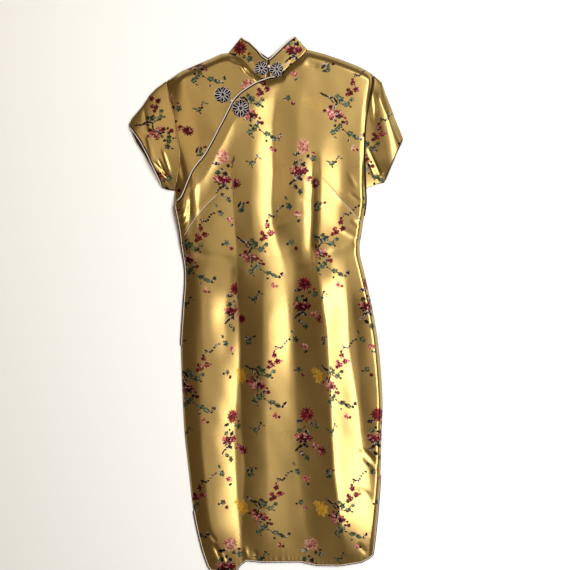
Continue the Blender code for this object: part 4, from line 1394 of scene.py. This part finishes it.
class DRESS_OT_seams(bpy.types.Operator):
    """Stitched lines of the darts, darkened as painted shade, pale cords beside the bust darts as
    painted highlights, and the rounded seam of the left armhole
    """
    bl_idname = "dress.seams"
    bl_label = "Seams"

    def execute(self, context):
        settings = context.scene.dress
        found = materials(settings)
        radius = settings.seam_radius / MM
        half_wall = settings.cloth_wall / MM / 2

        def along(seam, aside):
            """The seam's line on the cloth's right side, moved aside."""
            line = moved_out(dense(np.array([(x, y, 0.0) for x, y in seam]), 3.0), aside)
            return on_front(line[:, 0], line[:, 1]) + (0, 0, half_wall)

        # The dart cords are dark as painted shade in the seams; the pale cords beside the bust darts
        # are painted highlights.
        for name, routes, finish in (
            ("dart_seams", [along(seam, 0.0) for seam in DART_SEAMS], "Seam thread darkened as painted shade"),
            ("dart_painted_highlights", [along(seam, side * DART_HIGHLIGHT_GAP * radius)
                            for seam, side in DART_PAINTED_HIGHLIGHTS], "Pale satin piping and painted highlight"),
        ):
            settle(cord_mesh(name, routes, radius, found[finish], resolution=1), "gold_satin")

        sleeve = SLEEVES[0]
        down = np.linspace(0.04, 0.94, 60)
        x, y = sleeve_layer(sleeve, sleeve.front_hem, 0.0, down)
        z = sleeve_front_z(sleeve, 0.0, down) + 0.4
        ridge = np.stack([x + EDGE_CLEARANCE / 2, y, z], axis=1)
        settle(cord_mesh("left_armhole_seam", [ridge], ARMHOLE_RIDGE, found["Gold satin ridge"]),
               "gold_satin")
        return {"FINISHED"}


class DRESS_OT_knots(bpy.types.Operator):
    """Flower knots of looped cord with black filling, and the balls between them"""
    bl_idname = "dress.knots"
    bl_label = "Flower knots"

    def execute(self, context):
        settings = context.scene.dress
        found = materials(settings)
        cord = settings.cord_radius / MM
        for frog in FROGS:
            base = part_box(frog.name)[0][2] / MM
            loops, filling = [], bmesh.new()
            for petal in range(frog.petals):
                loop = petal_loop(frog, petal, base)
                loops.append(loop)
                prism(filling, [(x, y, base + 0.9) for x, y, z in loop],
                      [(x, y, z - 0.1) for x, y, z in loop])
            prism(filling, backing_outline(frog, base + 0.1), backing_outline(frog, base + 0.8))
            bmesh.ops.recalc_face_normals(filling, faces=filling.faces)
            fill = finish_mesh(frog.name + "_filling", filling)
            fill.data.materials.append(found["Black satin filling"])
            settle(fill, "flower_knot")
            petals = cord_mesh(
                frog.name + "_cord", loops, cord, found["Silvery knot cord"], cyclic=True,
                resolution=1)
            settle(petals, "flower_knot", frog.name)
        for knot in KNOTS:
            low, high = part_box(knot.name)
            centre = (Vector(low) + Vector(high)) / 2
            builder = bmesh.new()
            bmesh.ops.create_uvsphere(
                builder, u_segments=32, v_segments=20, radius=knot.radius * MM)
            for vert in builder.verts:
                ridge = math.sin(vert.co.z / MM * 3.2 + math.atan2(vert.co.y, vert.co.x) * 3)
                vert.co *= 1 + 0.07 * ridge
            bmesh.ops.translate(builder, verts=builder.verts, vec=centre)
            ball = finish_mesh(knot.name + "_cord", builder)
            ball.data.materials.append(found["Pale satin piping and painted highlight"])
            settle(ball, "pale_piping", knot.name)
        return {"FINISHED"}


class DRESS_OT_stage(bpy.types.Operator):
    """Plain pale floor, soft lights and the camera straight above"""
    bl_idname = "dress.stage"
    bl_label = "Floor, light and camera"

    def execute(self, context):
        builder = bmesh.new()
        bmesh.ops.create_grid(builder, x_segments=1, y_segments=1, size=FLOOR_HALF)
        bmesh.ops.translate(builder, verts=builder.verts, vec=(0, 0, -FLOOR_DROP))
        floor = finish_mesh("floor", builder)
        material, _, shader = new_material("Pale floor")
        shader.inputs["Base Color"].default_value = FLOOR_COLOUR
        shader.inputs["Roughness"].default_value = 0.8
        floor.data.materials.append(material)

        for lamp in LAMPS:
            data = bpy.data.lights.new(lamp.name, "AREA")
            data.shape = "RECTANGLE"
            data.size = lamp.width
            data.size_y = lamp.length
            data.energy = lamp.energy
            data.color = lamp.colour
            light = bpy.data.objects.new(lamp.name, data)
            light.location = lamp.place
            light.rotation_euler = (0, math.radians(lamp.tilt), 0)
            context.scene.collection.objects.link(light)

        world = bpy.data.worlds.new("Studio")
        world.use_nodes = True
        background = world.node_tree.nodes["Background"]
        background.inputs["Color"].default_value = WORLD_COLOUR
        background.inputs["Strength"].default_value = WORLD_STRENGTH
        context.scene.world = world

        data = bpy.data.cameras.new("camera")
        data.lens = 50.0
        data.sensor_width = 36.0
        camera = bpy.data.objects.new("camera", data)
        distance = VIEW_WIDTH * data.lens / data.sensor_width
        camera.location = to_world(*PHOTO_MIDDLE) + Vector((0, 0, distance))
        context.scene.collection.objects.link(camera)
        context.scene.camera = camera
        context.scene.view_settings.view_transform = "Standard"
        return {"FINISHED"}


class DRESS_PT_panel(bpy.types.Panel):
    """The steps that build the dress, with its sizes and colours"""
    bl_idname = "DRESS_PT_panel"
    bl_label = "Satin cheongsam"
    bl_space_type = "VIEW_3D"
    bl_region_type = "UI"
    bl_category = "Dress"

    def draw(self, context):
        settings = context.scene.dress
        for name in DressSettings.__annotations__:
            self.layout.prop(settings, name)
        for operator in OPERATORS:
            self.layout.operator(operator.bl_idname)


OPERATORS = (
    DRESS_OT_panels, DRESS_OT_sleeves, DRESS_OT_collar, DRESS_OT_piping, DRESS_OT_seams,
    DRESS_OT_knots, DRESS_OT_stage,
)
CLASSES = (DressSettings, *OPERATORS, DRESS_PT_panel)


def register():
    for item in CLASSES:
        bpy.utils.register_class(item)
    bpy.types.Scene.dress = PointerProperty(type=DressSettings)


def unregister():
    del bpy.types.Scene.dress
    for item in reversed(CLASSES):
        bpy.utils.unregister_class(item)


def main():
    register()
    bpy.ops.dress.panels()
    bpy.ops.dress.sleeves()
    bpy.ops.dress.collar()
    bpy.ops.dress.piping()
    bpy.ops.dress.seams()
    bpy.ops.dress.knots()
    bpy.ops.dress.stage()


if __name__ == "__main__":
    main()
